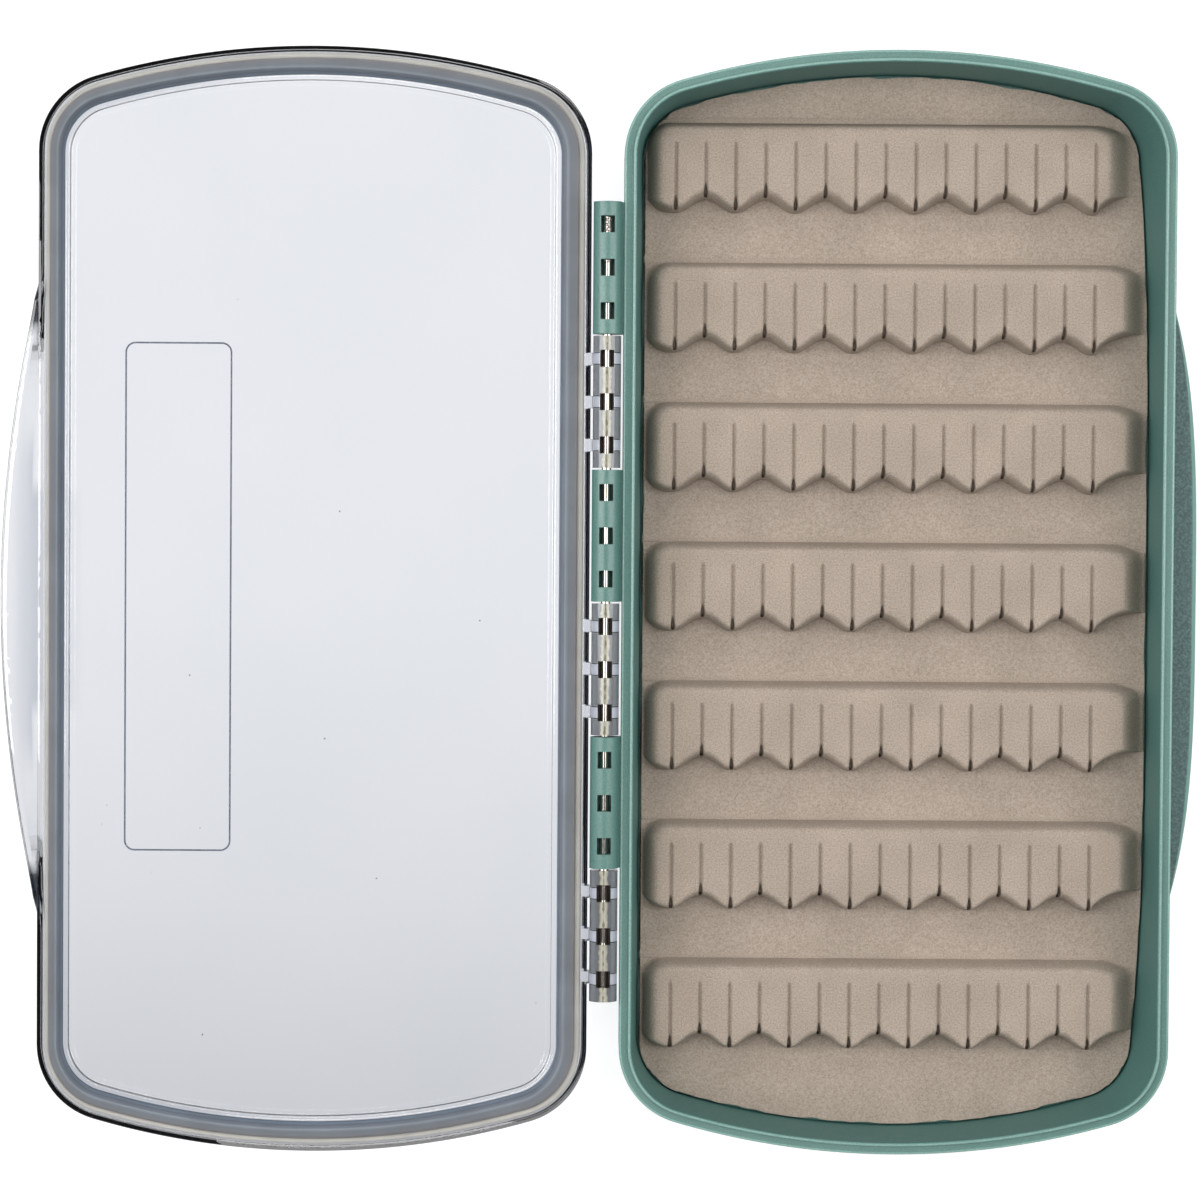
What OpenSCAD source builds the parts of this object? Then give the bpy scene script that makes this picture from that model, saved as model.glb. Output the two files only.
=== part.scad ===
// Slim fly box, open flat: a green tray with a slit foam mat, and a clear sealed lid on a pinned hinge.
// The Y axis runs along the hinge pin, +X is the tray side, +Z is up, and Z = 0 is the tray's underside.

/* [Case outline] */
// Length of both shells along the hinge
case_l = 184.4; // [150:0.2:225]
// Width of each shell
case_w = 92; // [76:0.5:112]
// Radius of the crowned ends
crown_r = 131.5; // [108:0.5:160]
// Radius of the rounded corners
corner_r = 13; // [10.5:0.5:16]

/* [Tray] */
// Height of the parting plane above the underside
base_h = 16; // [13:0.5:20]
// Thickness of the tray floor
floor_t = 1.4; // [1:0.1:1.8]
// Width of the ledge that the lid skirt closes on
ledge_w = 1.2; // [1.1:0.05:1.3]
// Thickness of the raised lip inside the ledge
lip_t = 0.8; // [0.7:0.05:0.95]
// Height of the lip above the ledge
lip_h = 0.85; // [0.6:0.05:0.9]
// Draft of the inner wall between lip and mat
wall_draft = 0.6; // [0.3:0.1:0.8]
// Pull-in of the free wall towards its corners at mat height
free_bow = 1.9; // [0:0.1:2.3]
// Radius of the rounded bottom edge
base_edge_r = 4; // [2:0.25:5]

/* [Lid] */
// Height of the lid shell
lid_h = 6.2; // [5.5:0.1:7.5]
// Thickness of the flat window panel
panel_t = 1.6; // [1.3:0.1:1.9]
// Thickness of the lid skirt
skirt_t = 1; // [0.85:0.05:1.05]
// Radius of the rounded outer edge
lid_edge_r = 2.4; // [1.5:0.1:2.8]
// Thickness of the clear rib that holds the seal
rib_t = 0.8; // [0.7:0.05:1]
// Height of that rib above the panel
rib_h = 1.3; // [1:0.1:1.6]
// Width of the low step between the rib and the window
step_w = 0.8; // [0.6:0.1:1.2]
// Height of that step
step_h = 0.15; // [0.1:0.05:0.25]

/* [Seal] */
// Width of the seal across its foot
seal_w = 3.2; // [2.8:0.1:3.9]
// Width of the low outer shelf that the tray lip meets
seal_shelf_w = 1; // [0.8:0.05:1.1]
// Depth of the shelf below the lid rim
seal_shelf_depth = 1.25; // [1.1:0.05:1.4]
// Depth of the seal crown below the lid rim
seal_crown_depth = 0.7; // [0.6:0.05:0.8]

/* [Thumb tabs] */
// Reach of the lid tab beyond the skirt
lid_tab_reach = 6.3; // [5.2:0.1:7.6]
// Reach of the tray tab beyond the wall
base_tab_reach = 5.2; // [4.3:0.1:6.3]
// Thickness of the lid tab at its edge
lid_tab_t = 1.6; // [1.3:0.1:1.9]
// Height of the flare under the lid tab
lid_tab_flare = 1.3; // [0.9:0.1:1.5]
// Thickness of the tray tab
base_tab_t = 2.4; // [2:0.1:2.9]
// Drop of the tray tab below the parting plane
base_tab_drop = 8; // [6:0.5:9]
// Straight side left at each end of the lid tab
lid_tab_margin = 22.5; // [18:0.5:27]
// Straight side left at each end of the tray tab
base_tab_margin = 20.8; // [17:0.5:25]

/* [Hinge] */
// Gap between the knuckles and the side walls of both shells
hinge_gap = 0.3; // [0.25:0.05:0.8]
// Diameter of the pin
pin_d = 1.6; // [1.4:0.1:1.8]
// Diameter of the knuckles
knuckle_d = 4.8; // [4:0.1:5.8]
// Gap between neighbouring knuckles
knuckle_gap = 0.3; // [0.25:0.05:0.5]
// Straight side left at each end of the knuckle row
hinge_margin = 7.9; // [6:0.1:9.5]
// Width of a knuckle window across the pin
window_w = 2.3; // [1.9:0.1:2.7]
// Length of a knuckle window along the pin
window_l = 2.8; // [2.3:0.1:3.4]
// Distance from a knuckle end to its first window's centre
window_end = 3.8; // [3.2:0.1:4.4]
// Width of the webs that carry a lid knuckle
lid_web_w = 2.1; // [1.7:0.1:2.6]
// Length of the knurled head of the pin
knurl_l = 9.4; // [8:0.2:11]
// Depth of the pin head inside the first knuckle
pin_inset = 0.6; // [0.3:0.1:1]
// Thickness of the closed end of the last knuckle
pin_stop = 2; // [1.6:0.1:2.4]

/* [Mat] */
// Thickness of the adhesive film
film_t = 0.2; // [0.15:0.01:0.25]
// Thickness of the mat between the ridges
sheet_t = 1.5; // [1.25:0.05:1.8]
// Bare mat behind the first ridge
row_back_margin = 8.5; // [7:0.1:9.5]
// Bare mat in front of the last ridge
row_front_margin = 13; // [10.8:0.1:15.6]
// Bare mat between the ridges and the hinge side
hinge_bare = 0.6; // [0.5:0.1:1.5]
// Bare mat between the ridges and the free side
free_bare = 1.8; // [1.4:0.1:2.6]
// Height of the ridges
ridge_h = 5; // [4:0.1:6]
// Depth of a ridge from its back to a scallop peak
ridge_d = 14.8; // [12.5:0.1:16]
// Depth of the scallops
scallop_d = 2.2; // [1.8:0.1:2.6]
// Slits in each ridge
slits = 15; // [11:2:17]
// Width of a slit
slit_w = 0.35; // [0.3:0.05:0.45]
// Distance from the ridge back to the slits
slit_start = 2.7; // [2.2:0.1:3.3]
// Width of the flared mouth of a slit
flare_w = 0.95; // [0.8:0.05:1.1]
// Length of the flare
flare_l = 2.6; // [2:0.1:3]

/* [Clearances] */
// Half of the gap between the closed rims
rim_clear = 0.1; // [0.05:0.01:0.15]
// Gap between skirt and tray lip when closed
lip_clear = 0.3; // [0.25:0.01:0.35]
// Radial clearance of the pin in its knuckles
pin_clear = 0.06; // [0.04:0.01:0.08]
// Radial bite of the knurl in the first knuckle
knurl_bite = 0.02; // [0.01:0.005:0.03]
// Gap between seal and the walls beside it
seal_clear = 0.1; // [0.05:0.01:0.15]
// Gap between mat and tray wall
mat_clear = 0.35; // [0.25:0.01:0.45]

/* [Hidden] */
rows = 7;

// Outline: two crowned ends, four corner arcs tangent to them, and straight sides
corner_x = case_w / 2 - corner_r;
crown_y = case_l / 2 - crown_r;
corner_y = crown_y + sqrt(pow(crown_r - corner_r, 2) - pow(corner_x, 2));
corner_a = atan2(corner_y - crown_y, corner_x);
corner_steps = 7;
crown_steps = 10;
side_steps = 7;
hinge_off = knuckle_d / 2 + hinge_gap;
shell_x = hinge_off + case_w / 2;

// Heights
ledge_z = base_h - rim_clear;
lip_z = ledge_z + lip_h;
film_z = floor_t;
sheet_z = film_z + film_t;
mat_z = sheet_z + sheet_t;
lid_rim_z = base_h - rim_clear;
lid_out_z = lid_rim_z - lid_h;
panel_z = lid_out_z + panel_t;

// Insets from the outline
rim_r = 0.3;
lip_in = ledge_w + 0.1;
lip_end = lip_in + lip_t;
wall_foot = lip_end + wall_draft;
floor_fillet = 0.25;
mat_in = wall_foot + mat_clear;
film_in = mat_in + 0.6;
seal_in = skirt_t + seal_clear;
seal_end = seal_in + seal_w;
rib_in = seal_end + seal_clear;
rib_end = rib_in + rib_t;

// Hinge
knuckles = 6;
hinge_half = corner_y - hinge_margin;
knuckle_l = (2 * hinge_half - (knuckles - 1) * knuckle_gap) / knuckles;
window_pitch = (knuckle_l - 2 * window_end) / 2;
bore_r = pin_d / 2 + pin_clear;
web_top = 0.5;
pin_top = hinge_half - pin_inset;
pin_end = pin_stop + 0.3;

// Mat and ridges
mat_half_l = case_l / 2 - mat_in;
mat_x0 = hinge_off + mat_in;
mat_x1 = hinge_off + case_w - mat_in;
ridge_x0 = mat_x0 + hinge_bare;
ridge_l = mat_x1 - free_bare - ridge_x0;
row_pitch = (2 * mat_half_l - row_back_margin - row_front_margin - ridge_d) / (rows - 1);
slit_x0 = 5;
slit_x1 = ridge_l - 8;
slit_pitch = (slit_x1 - slit_x0) / (slits - 1);
wave_steps = 3;
ridge_corner_r = 2.6;

tray_green = "#6fa395";
mat_taupe = "#a89c8d";
clear_grey = "#c9d0d8";

function arc(x, y, r, a0, a1, steps) = [
    for (i = [0 : steps]) let (a = a0 + (a1 - a0) * i / steps) [x + r * cos(a), y + r * sin(a)]
];

// Points of a straight side between its ends, without the ends
function side(x, y0, y1, steps) = steps > 1 ? [for (i = [1 : steps - 1]) [x, y0 + (y1 - y0) * i / steps]] : [];

// A quarter turn from a0 at height z
function arc3(x, y, r, a0, z) = [for (p = arc(x, y, r, a0, a0 + 90, 3)) [p.x, p.y, z]];

function trimmed(list) = [for (i = [1 : len(list) - 2]) list[i]];

// The outline moved inwards by inset, with its +X side pulled in by bow towards the corners
function outline(inset, bow = 0, sides = side_steps) = let (
    rc = corner_r - inset,
    rw = crown_r - inset,
    w = case_w / 2 - inset,
    points = concat(
        arc(corner_x, corner_y, rc, 0, corner_a, corner_steps),
        trimmed(arc(0, crown_y, rw, corner_a, 180 - corner_a, crown_steps)),
        arc(-corner_x, corner_y, rc, 180 - corner_a, 180, corner_steps),
        side(-w, corner_y, -corner_y, sides),
        arc(-corner_x, -corner_y, rc, 180, 180 + corner_a, corner_steps),
        trimmed(arc(0, -crown_y, rw, 180 + corner_a, 360 - corner_a, crown_steps)),
        arc(corner_x, -corner_y, rc, 360 - corner_a, 360, corner_steps),
        side(w, -corner_y, corner_y, sides)
    )
) [for (p = points) [p.x - bow * pow(min(1, abs(p.y) / corner_y), 4) * max(0, p.x) / w, p.y]];

// Side faces between ring a and ring b of n points each
function band(a, b, n) = [for (j = [0 : n - 1]) let (k = (j + 1) % n) [a * n + j, b * n + j, b * n + k, a * n + k]];

// A solid through rings of equal length, closed by its first and last ring; cap cuts a ring into convex faces
module loft(rings, cap = []) {
    n = len(rings[0]);
    m = len(rings);
    points = [for (ring = rings) each ring];
    walls = [for (i = [0 : m - 2]) each band(i, i + 1, n)];
    first = len(cap) > 0 ? cap : [[for (j = [0 : n - 1]) j]];
    last = [for (face = first) [for (j = [len(face) - 1 : -1 : 0]) (m - 1) * n + face[j]]];
    polyhedron(points = points, faces = concat(walls, first, last), convexity = 10);
}

// A closed band through rings, the last joined to the first
module loop_loft(rings) {
    n = len(rings[0]);
    m = len(rings);
    points = [for (ring = rings) each ring];
    polyhedron(points = points, faces = [for (i = [0 : m - 1]) each band(i, (i + 1) % m, n)], convexity = 10);
}

// A ring of the tray, where step is [inset, z, bow]
function tray_ring(step) = [for (p = outline(step[0], step[2])) [shell_x + p.x, p.y, step[1]]];

// A ring with straight sides for the lid, where step is [inset, z]
function lid_ring(step) = [for (p = outline(step[0], 0, 1)) [shell_x + p.x, p.y, step[1]]];

// Steps of a rounded edge of radius r that starts inset by r at z and ends upright
function edge_steps(r, z, bow) = [
    for (a = [0 : 22.5 : 90]) [r * (1 - sin(a)), z + r * (1 - cos(a)), bow * (1 - sin(a))]
];

// A flat crescent with its chord on x0: half is half of the chord
function crescent(x0, half, reach, power, z) = [
    for (i = [0 : 20]) let (u = i / 10 - 1) [x0 + reach * (1 - pow(abs(u), power)), half * u, z]
];

module base_tray() {
    steps = concat(
        edge_steps(base_edge_r, 0, 1.2),
        [
            [0, ledge_z - rim_r, 0],
            [rim_r / 3, ledge_z - rim_r / 3, 0],
            [rim_r, ledge_z, 0],
            [ledge_w, ledge_z, 0],
            [lip_in, lip_z - rim_r, 0],
            [lip_in + rim_r / 2, lip_z, 0],
            [lip_end - rim_r / 2, lip_z, 0],
            [lip_end, lip_z - rim_r, 0],
            [wall_foot, mat_z, free_bow],
            [wall_foot, floor_t + floor_fillet, free_bow],
            [wall_foot + floor_fillet, floor_t, free_bow]
        ]
    );
    color(tray_green) loft([for (step = steps) tray_ring(step)]);
}

module base_thumb_tab() {
    half = corner_y - base_tab_margin;
    top = base_h - base_tab_drop;
    x = hinge_off + case_w;
    steps = [[1.1, -base_tab_t], [0.3, -base_tab_t + 0.5], [0, -base_tab_t / 2], [0.3, -0.5], [1.1, 0]];
    color(tray_green) loft([for (s = steps) crescent(x, half, base_tab_reach - s[0], 3.5, top + s[1])]);
}

// A knuckle between y0 and y1 with its bore; stop is the closed length at the y0 end
module knuckle(index, stop = 0) {
    y1 = hinge_half - (index - 1) * (knuckle_l + knuckle_gap);
    y0 = y1 - knuckle_l;
    difference() {
        union() {
            translate([0, y1, base_h]) rotate([90, 0, 0]) cylinder(d = knuckle_d, h = knuckle_l, $fn = 64);
            translate([0, y0, base_h]) children();
        }
        translate([0, y1 + 1, base_h]) rotate([90, 0, 0])
            cylinder(r = bore_r, h = knuckle_l + 1 - stop + (stop > 0 ? 0 : 1), $fn = 64);
        for (i = [0 : 2])
            translate([-window_w / 2, y1 - window_end - i * window_pitch - window_l / 2, base_h])
                cube([window_w, window_l, knuckle_d]);
    }
}

// A web from inside the knuckle to the tray wall, below the parting plane
module web(length) {
    x0 = pin_d / 2 + 0.4;
    translate([x0, 0, -knuckle_d / 2]) cube([hinge_off - x0, length, knuckle_d / 2 - web_top]);
}

module base_knuckle(order) {
    color(tray_green) knuckle(2 * order - 1) web(knuckle_l);
}

module lid_knuckle(order) {
    last = order == knuckles / 2;
    color(clear_grey) knuckle(2 * order, last ? pin_stop : 0)
        for (i = [0 : 2])
            translate([0, window_end + i * window_pitch - lid_web_w / 2, 0]) mirror([1, 0, 0]) web(lid_web_w);
}

module hinge_pin() {
    core_l = pin_top + hinge_half - pin_end;
    color("silver") translate([0, pin_top, base_h]) rotate([90, 0, 0]) {
        cylinder(d = pin_d, h = core_l, $fn = 64);
        cylinder(r = bore_r + knurl_bite, h = knurl_l, $fn = 64);
    }
}

module mat_adhesive() {
    color("#d8d2c4") translate([shell_x, 0, film_z]) linear_extrude(film_t) polygon(outline(film_in, free_bow));
}

module mat_sheet() {
    color(mat_taupe) translate([shell_x, 0, sheet_z]) linear_extrude(sheet_t) polygon(outline(mat_in, free_bow));
}

// Distance of a ridge's front foot from its back at x, deepest at the odd slits
function ridge_front(x) = ridge_d - scallop_d / 2 + scallop_d / 2 * cos(180 * (x - slit_x0) / slit_pitch);

// How far the free edge of the mat is pulled in at y, from its corner arc and its bow
function free_pull(y) = let (r = corner_r - mat_in, over = max(0, abs(y) - corner_y))
    r - sqrt(r * r - over * over) + free_bow * pow(min(1, abs(y) / corner_y), 4);

// The slit at x as a notch in a ridge's plan, from its mouth on the left round to its mouth on the right
function notch(x, front, z) = let (
    mouth = front - ridge_front(x),
    flare = mouth + flare_l
) [
    [x - flare_w / 2, mouth, z],
    [x - slit_w / 2, flare, z],
    [x - slit_w / 2, -slit_start, z],
    [x + slit_w / 2, -slit_start, z],
    [x + slit_w / 2, flare, z],
    [x + flare_w / 2, mouth, z]
];

// The scalloped front between the slit at x and the next one
function scallop(x, front, z) = [
    for (i = [1 : wave_steps - 1]) let (at = x + i * slit_pitch / wave_steps) [at, front - ridge_front(at), z]
];

// Plan of a ridge, pulled in at its back, front and ends
function ridge_ring(back, front, left, right, z) = concat(
    arc3(ridge_l - right - ridge_corner_r, -back - ridge_corner_r, ridge_corner_r, 0, z),
    arc3(left + ridge_corner_r, -back - ridge_corner_r, ridge_corner_r, 90, z),
    [[left + 0.2, -ridge_d * 0.6 + front / 2, z], [left + 1, -ridge_d * 0.8 + front, z]],
    [for (i = [0 : slits - 1]) let (x = slit_x0 + i * slit_pitch) each concat(
        notch(x, front, z),
        i < slits - 1 ? scallop(x, front, z) : []
    )],
    [[ridge_l - right - 2.4, -ridge_d * 0.74 + front, z], [ridge_l - right - 0.2, -ridge_d * 0.52, z]]
);

// Triangles from point a to each pair of neighbours in list
function fan(a, list) = [for (i = [0 : len(list) - 2]) [a, list[i], list[i + 1]]];

// A ridge's plan in triangles: the strip behind the slits, its left end, its fingers and its right end
function ridge_cap() = let (
    c = 4,
    s = 2 * c + 2,
    step = wave_steps + 5,
    last = s + (slits - 1) * step,
    n = last + 8
) concat(
    fan(c - 1, concat([c], [for (i = [0 : slits - 1]) each [s + i * step + 2, s + i * step + 3]])),
    fan(s + 2, [for (j = [c : s + 1]) j]),
    [for (i = [0 : slits - 2]) let (a = s + i * step + 3) each fan(a, [for (j = [a + 1 : a + step - 1]) j])],
    fan(last + 3, [for (j = [last + 4 : n + c - 1]) j % n])
);

module fly_ridge(row) {
    y = mat_half_l - row_back_margin - (row - 1) * row_pitch;
    cut = max(free_pull(y - 1), free_pull(y - ridge_d / 2));
    color(mat_taupe) translate([ridge_x0, y, mat_z]) loft([
        ridge_ring(0, 0, 0, cut, 0),
        ridge_ring(0.5, 1.4, 1.6, min(cut + 2.4, 4.1), ridge_h * 0.86),
        ridge_ring(1, 2, 2.4, min(cut + 3.2, 4.6), ridge_h)
    ], ridge_cap());
}

module lid_shell() {
    steps = concat(
        edge_steps(lid_edge_r, lid_out_z, 0),
        [
            [0, lid_rim_z - rim_r],
            [rim_r, lid_rim_z],
            [skirt_t - 0.1, lid_rim_z],
            [skirt_t, lid_rim_z - 0.1],
            [skirt_t, panel_z],
            [rib_in, panel_z],
            [rib_in, panel_z + rib_h - 0.2],
            [rib_in + 0.2, panel_z + rib_h],
            [rib_end - 0.2, panel_z + rib_h],
            [rib_end, panel_z + rib_h - 0.2],
            [rib_end + 0.1, panel_z + step_h],
            [rib_end + step_w, panel_z + step_h],
            [rib_end + step_w + 0.1, panel_z]
        ]
    );
    color(clear_grey, 0.5) mirror([1, 0, 0]) loft([for (step = steps) lid_ring(step)]);
}

module lid_thumb_tab() {
    half = corner_y - lid_tab_margin;
    x = hinge_off + case_w;
    top = lid_rim_z - 0.3;
    dish_x = x + 0.9;
    dish_reach = lid_tab_reach - 2.1;
    under = top - lid_tab_t - 0.3;
    color(clear_grey, 0.5) mirror([1, 0, 0]) loft([
        crescent(x, half - 7, 0.4, 2, under - lid_tab_flare),
        crescent(x, half - 4, 0.3 * lid_tab_reach, 2, under - 0.6 * lid_tab_flare),
        crescent(x, half - 1.5, 0.65 * lid_tab_reach, 2, under - 0.2 * lid_tab_flare),
        crescent(x, half, lid_tab_reach - 0.6, 2, under),
        crescent(x, half, lid_tab_reach, 2, top - lid_tab_t + 0.3),
        crescent(x, half, lid_tab_reach, 2, top - 0.3),
        crescent(x, half, lid_tab_reach - 0.3, 2, top),
        crescent(dish_x, half - 9, dish_reach + 0.3, 2, top),
        crescent(dish_x + 0.3, half - 12, dish_reach - 0.5, 2, top - 0.5)
    ]);
}

module lid_seal() {
    shelf_z = lid_rim_z - seal_shelf_depth;
    crown_z = lid_rim_z - seal_crown_depth;
    shelf_end = seal_in + seal_shelf_w;
    steps = [
        [seal_in, panel_z],
        [seal_in, shelf_z - 0.2],
        [seal_in + 0.2, shelf_z],
        [shelf_end, shelf_z],
        [shelf_end + 0.25, crown_z - 0.1],
        [shelf_end + 0.5, crown_z],
        [seal_end - 0.8, crown_z],
        [seal_end - 0.6, crown_z - 0.15],
        [seal_end - 0.25, crown_z - 1.4],
        [seal_end, crown_z - 1.7],
        [seal_end, panel_z]
    ];
    color("#7f8287") mirror([1, 0, 0]) loop_loft([for (step = steps) lid_ring(step)]);
}

base_tray();
base_thumb_tab();
base_knuckle(1);  // base_knuckle_1
base_knuckle(2);  // base_knuckle_2
base_knuckle(3);  // base_knuckle_3
hinge_pin();
mat_adhesive();
mat_sheet();
fly_ridge(1);  // fly_ridge_1
fly_ridge(2);  // fly_ridge_2
fly_ridge(3);  // fly_ridge_3
fly_ridge(4);  // fly_ridge_4
fly_ridge(5);  // fly_ridge_5
fly_ridge(6);  // fly_ridge_6
fly_ridge(7);  // fly_ridge_7
lid_shell();
lid_thumb_tab();
lid_knuckle(1);  // lid_knuckle_1
lid_knuckle(2);  // lid_knuckle_2
lid_knuckle(3);  // lid_knuckle_3
lid_seal();
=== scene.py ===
"""The finish of a slim fly box that lies open: green moulded tray with a slit foam mat, clear sealed lid, pinned hinge.

Lengths are in millimetres until a mesh is made, where MM turns them to metres. X runs from the hinge across the tray,
Y along the pin and Z up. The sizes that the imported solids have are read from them.
"""
import math

import bmesh
import bpy
import numpy as np
from mathutils import Matrix, Vector


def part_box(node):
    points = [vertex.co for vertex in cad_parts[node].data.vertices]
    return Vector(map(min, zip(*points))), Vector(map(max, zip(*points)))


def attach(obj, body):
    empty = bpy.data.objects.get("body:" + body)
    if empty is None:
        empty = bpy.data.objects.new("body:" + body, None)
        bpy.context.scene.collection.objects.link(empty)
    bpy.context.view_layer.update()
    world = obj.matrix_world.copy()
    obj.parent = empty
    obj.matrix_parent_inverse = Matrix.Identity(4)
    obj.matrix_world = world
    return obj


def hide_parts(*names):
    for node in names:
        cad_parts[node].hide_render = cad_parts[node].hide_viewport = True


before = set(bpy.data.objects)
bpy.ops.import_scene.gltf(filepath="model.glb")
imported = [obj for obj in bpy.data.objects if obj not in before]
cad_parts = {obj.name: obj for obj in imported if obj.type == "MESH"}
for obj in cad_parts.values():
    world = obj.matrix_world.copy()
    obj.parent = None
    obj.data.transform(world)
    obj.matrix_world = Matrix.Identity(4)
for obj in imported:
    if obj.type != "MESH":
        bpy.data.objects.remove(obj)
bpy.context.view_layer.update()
MM = 0.001


def node_box(name):
    """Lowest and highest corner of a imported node, in millimetres."""
    low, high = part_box(name)
    return np.array(low) / MM, np.array(high) / MM


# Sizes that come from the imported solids
TRAY_LOW, TRAY_HIGH = node_box("base_tray")
LID_LOW, LID_HIGH = node_box("lid_shell")
SEAL_LOW, SEAL_HIGH = node_box("lid_seal")
SHEET_LOW, SHEET_HIGH = node_box("mat_sheet")
TAB_LOW, TAB_HIGH = node_box("base_thumb_tab")
LID_TAB_LOW, LID_TAB_HIGH = node_box("lid_thumb_tab")
PIN_LOW, PIN_HIGH = node_box("hinge_pin")
KNUCKLE_LOW, KNUCKLE_HIGH = node_box("base_knuckle_1")
LID_KNUCKLE_LOW, LID_KNUCKLE_HIGH = node_box("lid_knuckle_1")
RIDGES = [node_box(f"fly_ridge_{row}") for row in range(1, 8)]
CASE_L = TRAY_HIGH[1] - TRAY_LOW[1]
CASE_W = TRAY_HIGH[0] - TRAY_LOW[0]
HINGE_OFF = TRAY_LOW[0]
SHELL_X = HINGE_OFF + CASE_W / 2
PIN_Z = (KNUCKLE_LOW[2] + KNUCKLE_HIGH[2]) / 2
LID_RIM_Z = LID_HIGH[2]
MAT_Z = SHEET_HIGH[2]
MAT_INSET = SHEET_LOW[0] - TRAY_LOW[0]
FLOOR_LEAN = 0.4

# Outline of both shells
CROWN_R = 131.5
CORNER_R = 13
CORNER_X = CASE_W / 2 - CORNER_R
CROWN_Y = CASE_L / 2 - CROWN_R
CORNER_Y = CROWN_Y + math.sqrt((CROWN_R - CORNER_R) ** 2 - CORNER_X**2)
CORNER_A = math.atan2(CORNER_Y - CROWN_Y, CORNER_X)
FREE_BOW = 1.9

# Tray and lid sections
FLOOR_T = 1.4
LEDGE_Z = PIN_Z - 0.1
LEDGE_W = 1.45
LIP_T = 0.6
# Width of the painted highlight along the rim's rounded edges
HIGHLIGHT_W = 0.34
WALL_FOOT = 2.7
PANEL_T = 1.6
PANEL_Z = LID_LOW[2] + PANEL_T
LID_EDGE_R = 2.4
SKIRT_T = 1.0
RIB_IN = 4.4
RIB_T = 0.8
RIB_H = 1.3
STEP_W = 0.8
STEP_H = 0.15
GUTTER_LEAN = 0.5
HINGE_LEAN = 0.35
TAB_BLEND = 0.7

# Hinge
KNUCKLES_A_SHELL = 3
KNUCKLE_D = KNUCKLE_HIGH[2] - KNUCKLE_LOW[2]
KNUCKLE_L = KNUCKLE_HIGH[1] - KNUCKLE_LOW[1]
KNUCKLE_PITCH = KNUCKLE_HIGH[1] - LID_KNUCKLE_HIGH[1]
WINDOW_W = 2.3
WINDOW_L = 2.8
WINDOW_END = 3.8
WINDOW_PITCH = KNUCKLE_L / 2 - WINDOW_END
WEB_W = 2.1
PIN_D = 1.6
BORE_D = 1.72
KNURL_L = 9.4

# Mat
SLITS = 15
SLIT_X0 = RIDGES[3][0][0] + 5.06
SLIT_PITCH = (RIDGES[3][1][0] - 7.62 - SLIT_X0) / (SLITS - 1)
RIDGE_D = RIDGES[3][1][1] - RIDGES[3][0][1]
RIDGE_H = RIDGES[3][1][2] - RIDGES[3][0][2]
BACK_ROLL = 0.5
SCALLOP_D = 2.2


# Outlines and lofted shells

def arc(cx, cy, r, a0, a1, steps):
    angles = np.linspace(a0, a1, steps + 1)
    return np.stack([cx + r * np.cos(angles), cy + r * np.sin(angles)], axis=1)


def side_heights(extra=()):
    """Heights of the points along a straight side, going up, with extra ones where a mask needs them."""
    plain = np.linspace(-CORNER_Y, CORNER_Y, 61)[1:-1]
    return np.array(sorted(set(np.round(plain, 4)) | set(np.round(list(extra), 4))))


def outline(inset, bow, heights):
    """The shells' outline moved inwards, anticlockwise from the +X side, which bow pulls in towards its corners."""
    rc, rw, w = CORNER_R - inset, CROWN_R - inset, CASE_W / 2 - inset
    up = np.pi - CORNER_A
    points = np.concatenate([
        arc(CORNER_X, CORNER_Y, rc, 0, CORNER_A, 16),
        arc(0, CROWN_Y, rw, CORNER_A, up, 44)[1:-1],
        arc(-CORNER_X, CORNER_Y, rc, up, np.pi, 16),
        np.stack([np.full(len(heights), -w), heights[::-1]], axis=1),
        arc(-CORNER_X, -CORNER_Y, rc, np.pi, np.pi + CORNER_A, 16),
        arc(0, -CROWN_Y, rw, np.pi + CORNER_A, 2 * np.pi - CORNER_A, 44)[1:-1],
        arc(CORNER_X, -CORNER_Y, rc, 2 * np.pi - CORNER_A, 2 * np.pi, 16),
        np.stack([np.full(len(heights), w), heights], axis=1),
    ])
    reach = np.minimum(1, np.abs(points[:, 1]) / CORNER_Y) ** 4
    points[:, 0] -= bow * reach * np.maximum(0, points[:, 0]) / w
    return points


def rounded(profile, steps=4):
    """Rounds the corners of a section: each entry is (inset, z, bow, radius)."""
    path = []
    for i, (inset, z, bow, radius) in enumerate(profile):
        here = np.array([inset, z, bow], float)
        if radius == 0 or i in (0, len(profile) - 1):
            path.append(here)
            continue
        before = np.array(profile[i - 1][:3], float) - here
        after = np.array(profile[i + 1][:3], float) - here
        reach_before = min(radius, np.linalg.norm(before) * 0.49)
        reach_after = min(radius, np.linalg.norm(after) * 0.49)
        start = here + before / np.linalg.norm(before) * reach_before
        end = here + after / np.linalg.norm(after) * reach_after
        for t in np.linspace(0, 1, steps + 1):
            path.append((1 - t) ** 2 * start + 2 * t * (1 - t) * here + t * t * end)
    return path


def with_stops(path, stops):
    """Adds points to a section's flat stretches, at (inset, z), where an attribute has to change sharply."""
    full = [path[0]]
    for before, after in zip(path, path[1:]):
        for inset, z in stops:
            if before[0] < inset < after[0] and max(abs(before[1] - z), abs(after[1] - z)) < 0.01:
                full.append(np.array([inset, z, before[2]]))
        full.append(after)
    return full


def mesh_object(name, points, faces):
    """A mesh object at the origin from points in millimetres, with its normals turned outwards."""
    mesh = bpy.data.meshes.new(name)
    mesh.from_pydata((np.asarray(points, float) * MM).tolist(), [], faces)
    piece = bpy.data.objects.new(name, mesh)
    bpy.context.scene.collection.objects.link(piece)
    shell = bmesh.new()
    shell.from_mesh(mesh)
    bmesh.ops.recalc_face_normals(shell, faces=shell.faces)
    shell.to_mesh(mesh)
    shell.free()
    return piece


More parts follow.
